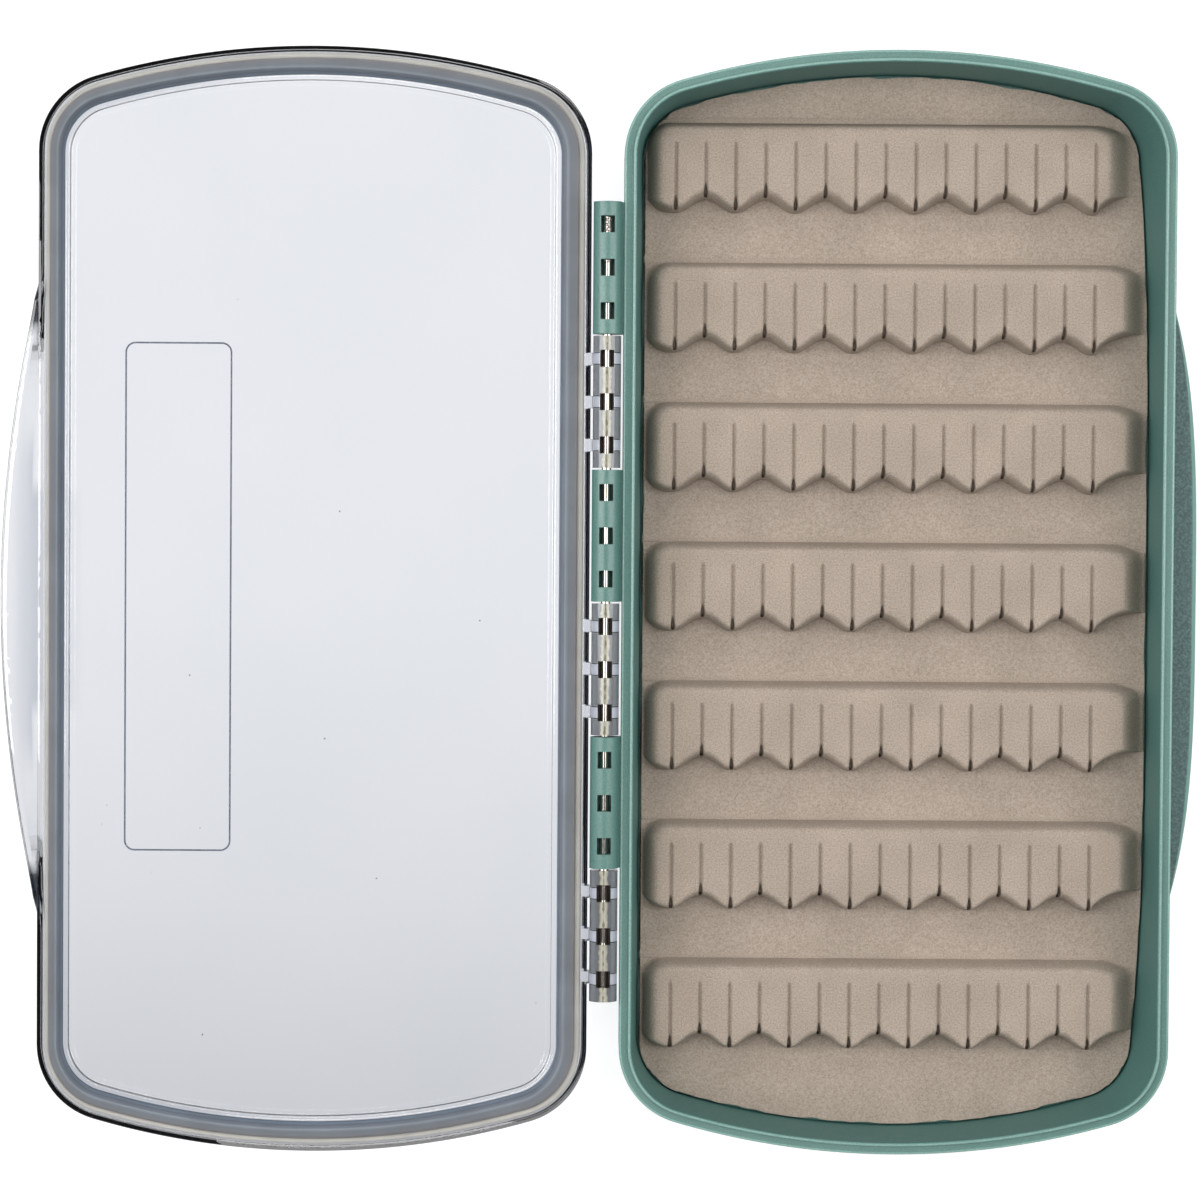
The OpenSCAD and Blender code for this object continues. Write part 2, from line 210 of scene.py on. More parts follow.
def ring_faces(rings, count, closed):
    last = rings if closed else rings - 1
    faces = []
    for i in range(last):
        a, b = i * count, (i + 1) % rings * count
        faces += [(a + j, b + j, b + (j + 1) % count, a + (j + 1) % count) for j in range(count)]
    return faces


def shell_piece(name, path, mirrored, closed=False, heights=None):
    """Lofts a section round the outline. Keeps each point's inset as an attribute for the materials."""
    heights = side_heights() if heights is None else heights
    side = -1 if mirrored else 1
    points, insets = [], []
    for inset, z, bow in path:
        ring = outline(inset, bow, heights)
        points.append(np.column_stack([side * (SHELL_X + ring[:, 0]), ring[:, 1], np.full(len(ring), z)]))
        insets += [inset] * len(ring)
    count = len(points[0])
    faces = ring_faces(len(path), count, closed)
    if not closed:
        faces += [tuple(range(count)), tuple(range((len(path) - 1) * count, len(path) * count))]
    piece = mesh_object(name, np.concatenate(points), faces)
    piece.data.attributes.new("inset", "FLOAT", "POINT").data.foreach_set("value", insets)
    return piece


def lean_rings(piece, amounts):
    """Moves each ring of a lofted piece along X, by its own amounts in millimetres: one, or one for each point."""
    places = np.array([v.co[:] for v in piece.data.vertices]).reshape(len(amounts), -1, 3)
    places[:, :, 0] += np.asarray(amounts).reshape(len(amounts), -1) * MM
    piece.data.vertices.foreach_set("co", places.ravel())
    piece.data.update()


def smooth(piece, angle=40):
    """Smooth shading that keeps flats flat: sharp past angle, and normals weighted by face area."""
    for polygon in piece.data.polygons:
        polygon.use_smooth = True
    piece.data.set_sharp_from_angle(angle=math.radians(angle))
    weighted = piece.modifiers.new("flats", "WEIGHTED_NORMAL")
    weighted.keep_sharp = True
    weighted.weight = 80


def dress(piece, body, material, slot, *replaced):
    piece.data.materials.clear()
    piece.data.materials.append(material)
    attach(piece, body)
    if replaced:
        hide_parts(*replaced)


# Node helpers

def linear(code):
    """An sRGB hex code as linear RGBA."""
    parts = [int(code[i:i + 2], 16) / 255 for i in (1, 3, 5)]
    return tuple(c / 12.92 if c <= 0.04045 else ((c + 0.055) / 1.055) ** 2.4 for c in parts) + (1,)


def add(tree, kind, inputs=None, **settings):
    """Adds a node; an input that is a socket is linked and any other is set."""
    node = tree.nodes.new(kind)
    for key, value in settings.items():
        setattr(node, key, value)
    for key, value in (inputs or {}).items():
        if isinstance(value, bpy.types.NodeSocket):
            tree.links.new(value, node.inputs[key])
        else:
            node.inputs[key].default_value = value
    return node


def start_material(name):
    material = bpy.data.materials.new(name)
    material.use_nodes = True
    tree = material.node_tree
    tree.nodes.clear()
    place = add(tree, "ShaderNodeTexCoord").outputs["Object"]
    return material, tree, place


def finish_material(tree, shader):
    add(tree, "ShaderNodeOutputMaterial", {"Surface": shader})


def ramp(tree, factor, stops):
    """A colour ramp through (position, hex code) stops."""
    node = add(tree, "ShaderNodeValToRGB", {"Fac": factor})
    elements = node.color_ramp.elements
    while len(elements) < len(stops):
        elements.new(0.5)
    for element, (position, code) in zip(elements, stops):
        element.position = position
        element.color = linear(code)
    return node.outputs["Color"]


def per_mm(size):
    """Texture scale for a feature of size millimetres in Object coordinates."""
    return 1 / (size * MM)


# Materials

def moulded_green():
    """Satin ABS from a fine-sparked mould, with a 0.15 mm grain drawn at 0.28 mm.

    Its drawn sides are rougher and painted a darker green as painted shade; a painted highlight makes the rim's rounded
    edges a paler green.
    """
    material, tree, place = start_material("moulded_abs_green")
    cloud = add(tree, "ShaderNodeTexNoise", {"Vector": place, "Scale": per_mm(14), "Detail": 3.0})
    grain = add(tree, "ShaderNodeTexNoise", {"Vector": place, "Scale": per_mm(0.28), "Detail": 2.0})
    base = ramp(tree, cloud.outputs["Fac"], [(0.35, "#567d76"), (0.65, "#5b827a")])
    speck = ramp(tree, grain.outputs["Fac"], [(0.35, "#e4eae8"), (0.65, "#ffffff")])
    shape = add(tree, "ShaderNodeNewGeometry")
    upward = add(tree, "ShaderNodeSeparateXYZ", {"Vector": shape.outputs["True Normal"]})
    flat = add(tree, "ShaderNodeMapRange", {"Value": upward.outputs["Z"], "From Min": 0.3, "From Max": 0.8})
    rough = add(tree, "ShaderNodeMapRange", {"Value": flat.outputs["Result"], "To Min": 0.6, "To Max": 0.3})
    # Steep faces are painted a darker green: painted shade
    drawn = add(tree, "ShaderNodeMix", {0: flat.outputs["Result"], 6: linear("#4e7a75"), 7: base}, data_type="RGBA")
    # The rim's rounded edges are painted a paler green: a painted highlight
    edge_highlight = add(tree, "ShaderNodeAttribute", attribute_name="edge_highlight").outputs["Fac"]
    with_edge_highlight = add(tree, "ShaderNodeMix", {"Factor": edge_highlight, 6: drawn.outputs[2], 7: linear("#82a69d")},
               data_type="RGBA")
    colour = add(tree, "ShaderNodeMix", {"Factor": 1.0, 6: with_edge_highlight.outputs[2], 7: speck}, data_type="RGBA",
                 blend_type="MULTIPLY")
    bump = add(tree, "ShaderNodeBump", {"Strength": 0.16, "Distance": 0.06 * MM, "Height": grain.outputs["Fac"]})
    shader = add(tree, "ShaderNodeBsdfPrincipled", {
        "Base Color": colour.outputs[2], "Roughness": rough.outputs["Result"], "IOR": 1.53,
        "Normal": bump.outputs["Normal"],
    })
    finish_material(tree, shader.outputs["BSDF"])
    return material


def sparked_green():
    """The same ABS with the coarse spark-eroded grip texture of the thumb tab, pits about 0.4 mm wide."""
    material, tree, place = start_material("spark_textured_abs_green")
    pits = add(tree, "ShaderNodeTexNoise", {"Vector": place, "Scale": per_mm(0.45), "Detail": 3.0, "Roughness": 0.7})
    shape = add(tree, "ShaderNodeNewGeometry")
    upward = add(tree, "ShaderNodeSeparateXYZ", {"Vector": shape.outputs["Normal"]})
    # The flat top is painted darker: partly the pitted texture's own tone, partly painted shade below the rim
    top = ramp(tree, pits.outputs["Fac"], [(0.36, "#385150"), (0.5, "#466161"), (0.66, "#5b7774")])
    # The rounded edges are painted a paler green: a painted highlight
    edge = linear("#6b958b")
    flat = add(tree, "ShaderNodeMapRange", {
        "Value": upward.outputs["Z"], "From Min": 0.9, "From Max": 0.995, "To Min": 0.0, "To Max": 1.0,
    })
    colour = add(tree, "ShaderNodeMix", {0: flat.outputs["Result"], 6: edge, 7: top}, data_type="RGBA")
    bump = add(tree, "ShaderNodeBump", {"Strength": 0.5, "Distance": 0.15 * MM, "Height": pits.outputs["Fac"]})
    shader = add(tree, "ShaderNodeBsdfPrincipled", {
        "Base Color": colour.outputs[2], "Roughness": 0.5, "IOR": 1.53, "Normal": bump.outputs["Normal"],
    })
    finish_material(tree, shader.outputs["BSDF"])
    return material


def foam():
    """Moulded closed-cell foam: matte taupe skin with a fine suede grain of about 0.3 mm."""
    material, tree, place = start_material("moulded_foam_taupe")
    cells = add(tree, "ShaderNodeTexNoise", {"Vector": place, "Scale": per_mm(0.27), "Detail": 3.0, "Roughness": 0.6})
    blotch = add(tree, "ShaderNodeTexNoise", {"Vector": place, "Scale": per_mm(9), "Detail": 4.0})
    base = ramp(tree, blotch.outputs["Fac"], [(0.3, "#a69b8f"), (0.7, "#b1a599")])
    speck = ramp(tree, cells.outputs["Fac"], [(0.3, "#cdc8c3"), (0.5, "#eae6e3"), (0.7, "#ffffff")])
    colour = add(tree, "ShaderNodeMix", {"Factor": 1.0, 6: base, 7: speck}, data_type="RGBA", blend_type="MULTIPLY")
    bump = add(tree, "ShaderNodeBump", {"Strength": 0.5, "Distance": 0.1 * MM, "Height": cells.outputs["Fac"]})
    shader = add(tree, "ShaderNodeBsdfPrincipled", {
        "Base Color": colour.outputs[2], "Roughness": 0.86, "Specular IOR Level": 0.3,
        "Normal": bump.outputs["Normal"],
    })
    finish_material(tree, shader.outputs["BSDF"])
    return material


def clear_polycarbonate():
    """Clear injection-moulded polycarbonate: a cool cast, greyer where thick, and painted near black as painted shade
    where the edge traps light.
    """
    material, tree, place = start_material("clear_polycarbonate")
    cells = add(tree, "ShaderNodeTexVoronoi", {"Vector": place, "Scale": per_mm(9)})
    specks = ramp(tree, cells.outputs["Distance"], [(0.0, "#50545c"), (0.013, "#50545c"), (0.02, "#ffffff")])
    cloud = add(tree, "ShaderNodeTexNoise", {"Vector": place, "Scale": per_mm(40), "Detail": 2.0})
    cast = ramp(tree, cloud.outputs["Fac"], [(0.3, "#eff2f7"), (0.7, "#f3f5fa")])
    thick = add(tree, "ShaderNodeAttribute", attribute_name="thick").outputs["Fac"]
    edge = add(tree, "ShaderNodeAttribute", attribute_name="edge").outputs["Fac"]
    body = add(tree, "ShaderNodeMix", {"Factor": thick, 6: cast, 7: linear("#ccd0d8")}, data_type="RGBA")
    dusty = add(tree, "ShaderNodeMix", {"Factor": 1.0, 6: body.outputs[2], 7: specks}, data_type="RGBA",
                blend_type="MULTIPLY")
    # Painted shade: near black where the edge attribute marks light trapped in the edge
    colour = add(tree, "ShaderNodeMix", {"Factor": edge, 6: dusty.outputs[2], 7: linear("#0d1018")}, data_type="RGBA")
    shader = add(tree, "ShaderNodeBsdfPrincipled", {
        "Base Color": colour.outputs[2], "Roughness": 0.0, "IOR": 1.58, "Transmission Weight": 1.0,
    })
    # Lamps shine through, so that the mat isn't black under the closed lid
    lamps = add(tree, "ShaderNodeLightPath").outputs["Is Shadow Ray"]
    lit = add(tree, "ShaderNodeBsdfTransparent", {"Color": linear("#eceff3")})
    both = add(tree, "ShaderNodeMixShader", {0: lamps, 1: shader.outputs["BSDF"], 2: lit.outputs[0]})
    finish_material(tree, both.outputs[0])
    return material


def clear_knuckle():
    """The same polycarbonate as barrels, hazy, with light and shade painted in: grey as painted shade from the matt
    bore, a pale core as painted light where the pin shines through.
    """
    material, tree, place = start_material("clear_polycarbonate_hazy_painted_light")

    def maths(operation, a, b):
        return add(tree, "ShaderNodeMath", {0: a, 1: b}, operation=operation).outputs[0]

    axes = add(tree, "ShaderNodeSeparateXYZ", {"Vector": place}).outputs
    along = maths("FLOORED_MODULO", maths("SUBTRACT", LID_KNUCKLE_HIGH[1] * MM, axes["Y"]), 2 * KNUCKLE_PITCH * MM)
    off = maths("PINGPONG", maths("SUBTRACT", along, WINDOW_END * MM), WINDOW_PITCH / 2 * MM)
    station = maths("DIVIDE", off, WEB_W * MM)
    across = maths("DIVIDE", maths("ABSOLUTE", axes["X"], 0.0), KNUCKLE_D / 2 * MM)
    wander = add(tree, "ShaderNodeTexNoise", {"Vector": place, "Scale": per_mm(1.1), "Detail": 2.0})
    shifted = maths("ADD", across, maths("MULTIPLY", maths("SUBTRACT", wander.outputs["Fac"], 0.5), 0.3))
    # Across the barrel: a pale core as painted light of the pin, grey bands as painted shade of the bore
    barrel = ramp(tree, shifted, [
        (0.0, "#8a8678"), (0.08, "#cfccba"), (0.22, "#bab7a8"), (0.32, "#74767a"), (0.5, "#74787d"),
        (0.82, "#868b91"), (1.0, "#64666f"),
    ])
    # Along it: lighter blocks beside the windows, and painted shade on the window walls
    block = ramp(tree, station, [(0.0, "#cdd2de"), (0.4, "#c4c9d6"), (0.44, "#3f4249"), (0.5, "#3f4249"),
                                 (0.54, "#ffffff")])
    beside = ramp(tree, station, [(0.0, "#000000"), (0.5, "#000000"), (0.54, "#ffffff")])
    outside = add(tree, "ShaderNodeMix", {"Factor": beside, 6: block, 7: barrel}, data_type="RGBA")
    # Inside the windows the colour is painted shade, a dark brownish grey
    window_shade = maths("MULTIPLY", maths("LESS_THAN", across, 1.03 * WINDOW_W / KNUCKLE_D),
                   maths("LESS_THAN", off, 0.51 * WINDOW_L * MM))
    colour = add(tree, "ShaderNodeMix", {"Factor": window_shade, 6: outside.outputs[2], 7: linear("#5f5852")},
                 data_type="RGBA")
    shader = add(tree, "ShaderNodeBsdfPrincipled", {
        "Base Color": colour.outputs[2], "Roughness": 0.12, "IOR": 1.58, "Transmission Weight": 0.35,
    })
    finish_material(tree, shader.outputs["BSDF"])
    return material


def painted_grey_bead():
    """The bead round the plate, moulded in the same clear plastic: it is painted grey, as painted shade for how its
    steep sides look, mottled at random.
    """
    material, tree, place = start_material("clear_polycarbonate_bead")
    mottle = add(tree, "ShaderNodeTexNoise", {"Vector": place, "Scale": per_mm(5), "Detail": 2.0})
    colour = ramp(tree, mottle.outputs["Fac"], [(0.3, "#7d838c"), (0.7, "#9096a0")])
    shader = add(tree, "ShaderNodeBsdfPrincipled", {
        "Base Color": colour, "Roughness": 0.2, "IOR": 1.58, "Transmission Weight": 0.6,
    })
    finish_material(tree, shader.outputs["BSDF"])
    return material


def seal_rubber():
    """Soft moulded rubber gasket, satin grey. Bands painted across it run from beige on the outer shelf to slate on the
    inner slope, partly its own tones and partly painted highlights and shade.
    """
    material, tree, place = start_material("seal_rubber_grey")
    inset = add(tree, "ShaderNodeAttribute", attribute_name="inset")
    across = add(tree, "ShaderNodeMapRange", {
        "Value": inset.outputs["Fac"], "From Min": 1.0, "From Max": 4.4,
    })
    # Bands across the seal: partly the rubber's tones, partly painted highlight and shade lines
    tones_and_painted_light = ramp(tree, across.outputs["Result"], [
        (0.0, "#b9b7b1"), (0.15, "#b3b0a9"), (0.24, "#9c9994"), (0.3, "#7c7b7d"), (0.36, "#6a6a6e"),
        (0.42, "#686c71"), (0.58, "#636a71"), (0.65, "#6e747b"), (0.71, "#787e85"), (0.77, "#6e747d"),
        (0.83, "#6c7580"), (0.87, "#5e6570"), (0.94, "#65717f"), (1.0, "#6a7b8c"),
    ])
    cloud = add(tree, "ShaderNodeTexNoise", {"Vector": place, "Scale": per_mm(6), "Detail": 2.0})
    shade = ramp(tree, cloud.outputs["Fac"], [(0.3, "#eeeeee"), (0.7, "#ffffff")])
    colour = add(tree, "ShaderNodeMix", {"Factor": 1.0, 6: tones_and_painted_light, 7: shade}, data_type="RGBA",
                 blend_type="MULTIPLY")
    shader = add(tree, "ShaderNodeBsdfPrincipled", {
        "Base Color": colour.outputs[2], "Roughness": 0.5, "IOR": 1.45,
    })
    finish_material(tree, shader.outputs["BSDF"])
    return material


def pin_steel():
    """Drawn stainless wire: fine lines along the pin and a bright narrow highlight."""
    material, tree, place = start_material("stainless_wire")
    along = add(tree, "ShaderNodeMapping", {"Vector": place, "Scale": (1, 0.02, 1)})
    lines = add(tree, "ShaderNodeTexNoise", {"Vector": along.outputs["Vector"], "Scale": per_mm(0.08), "Detail": 2.0})
    rough = add(tree, "ShaderNodeMapRange", {"Value": lines.outputs["Fac"], "To Min": 0.08, "To Max": 0.2})
    bump = add(tree, "ShaderNodeBump", {"Strength": 0.1, "Distance": 0.01 * MM, "Height": lines.outputs["Fac"]})
    shader = add(tree, "ShaderNodeBsdfPrincipled", {
        "Base Color": linear("#bfb7b0"), "Metallic": 1.0, "Roughness": rough.outputs["Result"],
        "Normal": bump.outputs["Normal"],
    })
    finish_material(tree, shader.outputs["BSDF"])
    return material


def film():
    """Thin acrylic adhesive film: pale, glossy where it shows at an edge."""
    material, tree, place = start_material("adhesive_film")
    cloud = add(tree, "ShaderNodeTexNoise", {"Vector": place, "Scale": per_mm(3), "Detail": 2.0})
    colour = ramp(tree, cloud.outputs["Fac"], [(0.3, "#cfc9ba"), (0.7, "#ddd7c8")])
    shader = add(tree, "ShaderNodeBsdfPrincipled", {"Base Color": colour, "Roughness": 0.35})
    finish_material(tree, shader.outputs["BSDF"])
    return material


GREEN = moulded_green()
GRIP = sparked_green()
FOAM = foam()
CLEAR = clear_polycarbonate()
HAZY_WITH_PAINTED_LIGHT = clear_knuckle()
BEAD = painted_grey_bead()
SEAL = seal_rubber()
STEEL = pin_steel()
FILM = film()


# Tray

def tray():
    top = TRAY_HIGH[2]
    lip_in = LEDGE_W + 0.05
    lip_end = lip_in + LIP_T
    profile = [
        (7, 0, 1.2, 0),
        (4, 0, 1.2, 0),
        (1.17, 0, 0.4, 3.2),
        (0, 4, 0, 3.2),
        (0, LEDGE_Z, 0, 0.3),
        (LEDGE_W, LEDGE_Z, 0, 0.12),
        (lip_in, top, 0, 0.3),
        (lip_end, top, 0, 0.3),
        (WALL_FOOT, MAT_Z, FREE_BOW, 0),
        (WALL_FOOT, FLOOR_T, FREE_BOW, 0.25),
        (WALL_FOOT + 3, FLOOR_T, FREE_BOW, 0),
    ]
    path = with_stops(rounded(profile), [
        (HIGHLIGHT_W, LEDGE_Z), (HIGHLIGHT_W + 0.05, LEDGE_Z), (lip_in + HIGHLIGHT_W, top), (lip_in + HIGHLIGHT_W + 0.05, top),
    ])
    piece = shell_piece("tray_shell", path, mirrored=False)
    inside = np.arange(len(path)) > max(i for i, entry in enumerate(path) if entry[1] > top - 0.01)
    share = np.clip([(entry[0] - lip_end) / (WALL_FOOT - lip_end) for entry in path], 0, 1)
    lean_rings(piece, FLOOR_LEAN * share * inside)
    # Marks the rim's rounded edges for the painted highlight, a paler green
    edge_highlight = [
        0 <= inset < HIGHLIGHT_W + 0.02 and LEDGE_Z - 0.25 < z < LEDGE_Z + 0.01
        or z > top - 0.25 and inset < lip_in + HIGHLIGHT_W + 0.02
        for inset, z, _ in path
    ]
    values = np.repeat(np.array(edge_highlight, float), len(piece.data.vertices) // len(path))
    piece.data.attributes.new("edge_highlight", "FLOAT", "POINT").data.foreach_set("value", values)
    smooth(piece)
    dress(piece, "base", GREEN, "green_plastic", "base_tray")


def crescent_piece(name, sections, mirrored):
    """Lofts flat crescents upwards: each section is (chord x, half chord, reach, power, z)."""
    count = 73
    u = np.linspace(-1, 1, count)
    side = -1 if mirrored else 1
    points = [
        np.column_stack([side * (x + reach * (1 - np.abs(u) ** power)), half * u, np.full(count, z)])
        for x, half, reach, power, z in sections
    ]
    faces = ring_faces(len(sections), count, closed=False)
    last = (len(sections) - 1) * count
    faces += [tuple(range(count)), tuple(range(last, last + count))]
    return mesh_object(name, np.concatenate(points), faces)


def tray_tab():
    reach = TAB_HIGH[0] - TAB_LOW[0]
    half = TAB_HIGH[1]
    thick = TAB_HIGH[2] - TAB_LOW[2]
    sections = []
    for angle in np.linspace(-90, 90, 17):
        pull = 1.1 * (1 - math.cos(math.radians(angle)))
        z = (TAB_LOW[2] + TAB_HIGH[2]) / 2 + thick / 2 * math.sin(math.radians(angle))
        sections.append((TAB_LOW[0], half, reach - pull, 3.5, z))
    piece = crescent_piece("tray_thumb_tab", sections, mirrored=False)
    smooth(piece, 50)
    dress(piece, "base", GRIP, "green_plastic", "base_thumb_tab")


# Mat

def ridge_front(x):
    """Depth of a ridge's foot at x: rounded into its left end, scalloped, and swept back to its right end."""
    first, last = SLIT_X0, SLIT_X0 + (SLITS - 1) * SLIT_PITCH
    wave = RIDGE_D - SCALLOP_D / 2 + SCALLOP_D / 2 * np.cos(np.pi * (x - first) / SLIT_PITCH)
    turn = np.clip((first - 0.6 - x) / 4.6, 0, 1)
    left = RIDGE_D - 4.4 * (1 - np.sqrt(1 - turn**2))
    right = RIDGE_D - 3.9 * (1 - np.exp(-np.maximum(0, x - last - 0.4) / 3.2))
    return np.where(x < first, left, np.where(x > last, right, wave))


def ease(t):
    t = np.clip(t, 0, 1)
    return t * t * (3 - 2 * t)


def flank(t):
    """Section of a moulded flank: it rises steeply from a crisp foot and rounds over into the top."""
    return 1 - (1 - np.clip(t, 0, 1)) ** 2.6


def soft_flank(t):
    """Section of a scalloped front: almost upright at the foot, then a long soft roll into the top."""
    return 1 - (1 - np.clip(t, 0, 1)) ** 4


def swept_end(t):
    """Section of a ridge's right end: a broad slope that runs out to the mat's edge."""
    return 0.15 * np.clip(t, 0, 1) + 0.85 * ease(t)


def ridge_height(x, y, low, high):
    """Height of one ridge over the mat at x, y."""
    back_w, left_w, right_w, tail = 1.7, 2.9, 4.6, 2.2
    back = high[1] + BACK_ROLL - y
    depth = ridge_front(x)
    lean = np.gradient(ridge_front(np.array([x - 0.05, x + 0.05])), 0.1, axis=0)[0]
    front = (depth + BACK_ROLL - back) / np.sqrt(1 + lean**2)
    swing = np.cos(np.pi * (x - SLIT_X0) / SLIT_PITCH)
    ends = np.maximum(0, SLIT_X0 - x) * 0.25 + np.maximum(0, x - SLIT_X0 - (SLITS - 1) * SLIT_PITCH) * 0.1
    inner = (x > SLIT_X0) & (x < SLIT_X0 + (SLITS - 1) * SLIT_PITCH)
    front_w = np.where(inner, 1.8 - 0.45 * swing, 1.35 + ends)
    left, right = x - low[0] - 0.35, high[0] + tail - x
    level = np.minimum(flank(back / back_w), soft_flank(front / front_w))
    level = np.minimum(level, np.minimum(flank(left / left_w), swept_end(right / right_w)))
    for end, reach_back, reach_end, width, section in (
        (left, 3.8, 3.8, left_w, flank), (right, 3.1, 8.0, right_w, swept_end),
    ):
        near = (back < reach_back) & (end < reach_end)
        off_back = 1 - np.minimum(back, reach_back) / reach_back
        off_end = 1 - np.minimum(end, reach_end) / reach_end
        inward = 1 - np.hypot(off_back, off_end)
        bearing = np.arctan2(off_back, np.maximum(off_end, 1e-6)) / (np.pi / 2)
        turned = (1 - bearing) * section(inward * reach_end / width) + bearing * flank(inward * reach_back / back_w)
        level = np.where(near, np.minimum(level, np.where(inward > 0, turned, 0)), level)
    height = RIDGE_H * level
    # A low step runs behind the ridge, and the lips of a slit stand up a little
    behind = (back < 0.02) & (back > -1.1) & (right > 3.0)
    height = np.where(behind, 0.13 * ease((back + 0.95) / 0.2) * ease((x - low[0] + 0.6) / 0.5), height)
    number = np.clip(np.round((x - SLIT_X0) / SLIT_PITCH), 0, SLITS - 1)
    off = x - SLIT_X0 - number * SLIT_PITCH
    wide = np.abs(off)
    reach = ease((back - 3.5) / 0.6) * ease((front - 0.25) / 0.3)
    slit = 0.5 * np.exp(-((wide / 0.21) ** 2))
    lips = 0.08 * np.exp(-(((wide - 0.5) / 0.18) ** 2)) - 0.1 * ease(1 - wide / 1.3)
    along = np.clip((front - 0.2) / 2.7, 0, 1)
    half = 0.1 + 0.42 * (1 - along) ** 0.8 * ease((front + 0.1) / 1.0)
    flare = 2.6 * ease(1.6 * (1 - wide / half)) * ease((1 - along) / 0.5) * ease((front - 0.2) / 0.2)
    carved = np.maximum(slit, flare) * (along < 1) + slit * (along >= 1)
    return np.maximum(height - (carved - lips) * reach * (level > 0.3), np.minimum(height, 0.3))


def mat_columns():
    offsets = np.array([-2.45, -2.05, -1.6, -1.15, -0.75, -0.5, -0.34, -0.25, -0.17, -0.08,
                        0.0, 0.08, 0.17, 0.25, 0.34, 0.44, 0.62, 0.9, 1.3, 1.75, 2.15])
    slits = SLIT_X0 + SLIT_PITCH * np.arange(SLITS)
    inner = (slits[:, None] + offsets).ravel()
    foot = SLIT_X0 - 5
    left = np.concatenate([[SHEET_LOW[0] - 0.4, SHEET_LOW[0] + 0.6, foot - 0.3, foot],
                           np.arange(foot + 0.1, SLIT_X0 - 2.6, 0.3)])
    right = np.arange(inner[-1] + 0.35, SHEET_HIGH[0] + 0.6, 0.36)
    return np.concatenate([left, inner, right])


def mat_rows(columns):
    """Rows of the mat's grid, which run straight behind the ridges and along the scallops at their feet."""
    front = ridge_front(columns)
    straight = np.ones(len(columns))
    rows = [(RIDGES[0][1][1] + rise) * straight for rise in np.arange(8.8, 1.5, -1.1)]
    behind = (1.1, 0.9, 0.76, 0.4, 0.06, 0.0, -0.1, -0.25, -0.45, -0.7, -1.0, -1.35, -1.75, -2.6, -3.4, -3.75, -4.1)
    ahead = (3.3, 2.9, 2.5, 2.1, 1.75, 1.4, 1.12, 0.88, 0.68, 0.5, 0.34, 0.2, 0.08, 0.0, -0.12)
    for order, (low, high) in enumerate(RIDGES):
        back = high[1] + BACK_ROLL
        rows += [(back + rise) * straight for rise in behind]
        first, last = (back + behind[-1]) * straight, high[1] - front + ahead[0]
        rows += [first + (last - first) * t for t in (0.25, 0.5, 0.75)]
        rows += [high[1] - front + rise for rise in ahead]
        if order < len(RIDGES) - 1:
            first, last = high[1] - front + ahead[-1], (RIDGES[order + 1][1][1] + BACK_ROLL + behind[0]) * straight
            rows += [first + (last - first) * t for t in (0.16, 0.4, 0.7)]
    foot = RIDGES[-1][1][1] - front + ahead[-1]
    end = SHEET_LOW[1] - 0.8
    rows += [foot + (end - foot) * t for t in np.linspace(0.06, 1, 10)]
    return np.array(rows)


def inside_outline(points, edge):
    """Which points lie inside a closed outline, by the even-odd rule."""
    x, y = points[:, 0], points[:, 1]
    hit = np.zeros(len(points), bool)
    for (x1, y1), (x2, y2) in zip(edge, np.roll(edge, -1, axis=0)):
        crosses = (y1 > y) != (y2 > y)
        if y1 != y2:
            hit ^= crosses & (x < (x2 - x1) * (y - y1) / (y2 - y1) + x1)
    return hit


def nearest_on_outline(points, edge):
    """The closest point of a closed outline to each point."""
    best = np.full(len(points), np.inf)
    found = points.copy()
    for a, b in zip(edge, np.roll(edge, -1, axis=0)):
        along = b - a
        t = np.clip(((points - a) @ along) / max(along @ along, 1e-12), 0, 1)
        foot = a + t[:, None] * along
        distance = np.hypot(*(points - foot).T)
        closer = distance < best
        best[closer] = distance[closer]
        found[closer] = foot[closer]
    return found


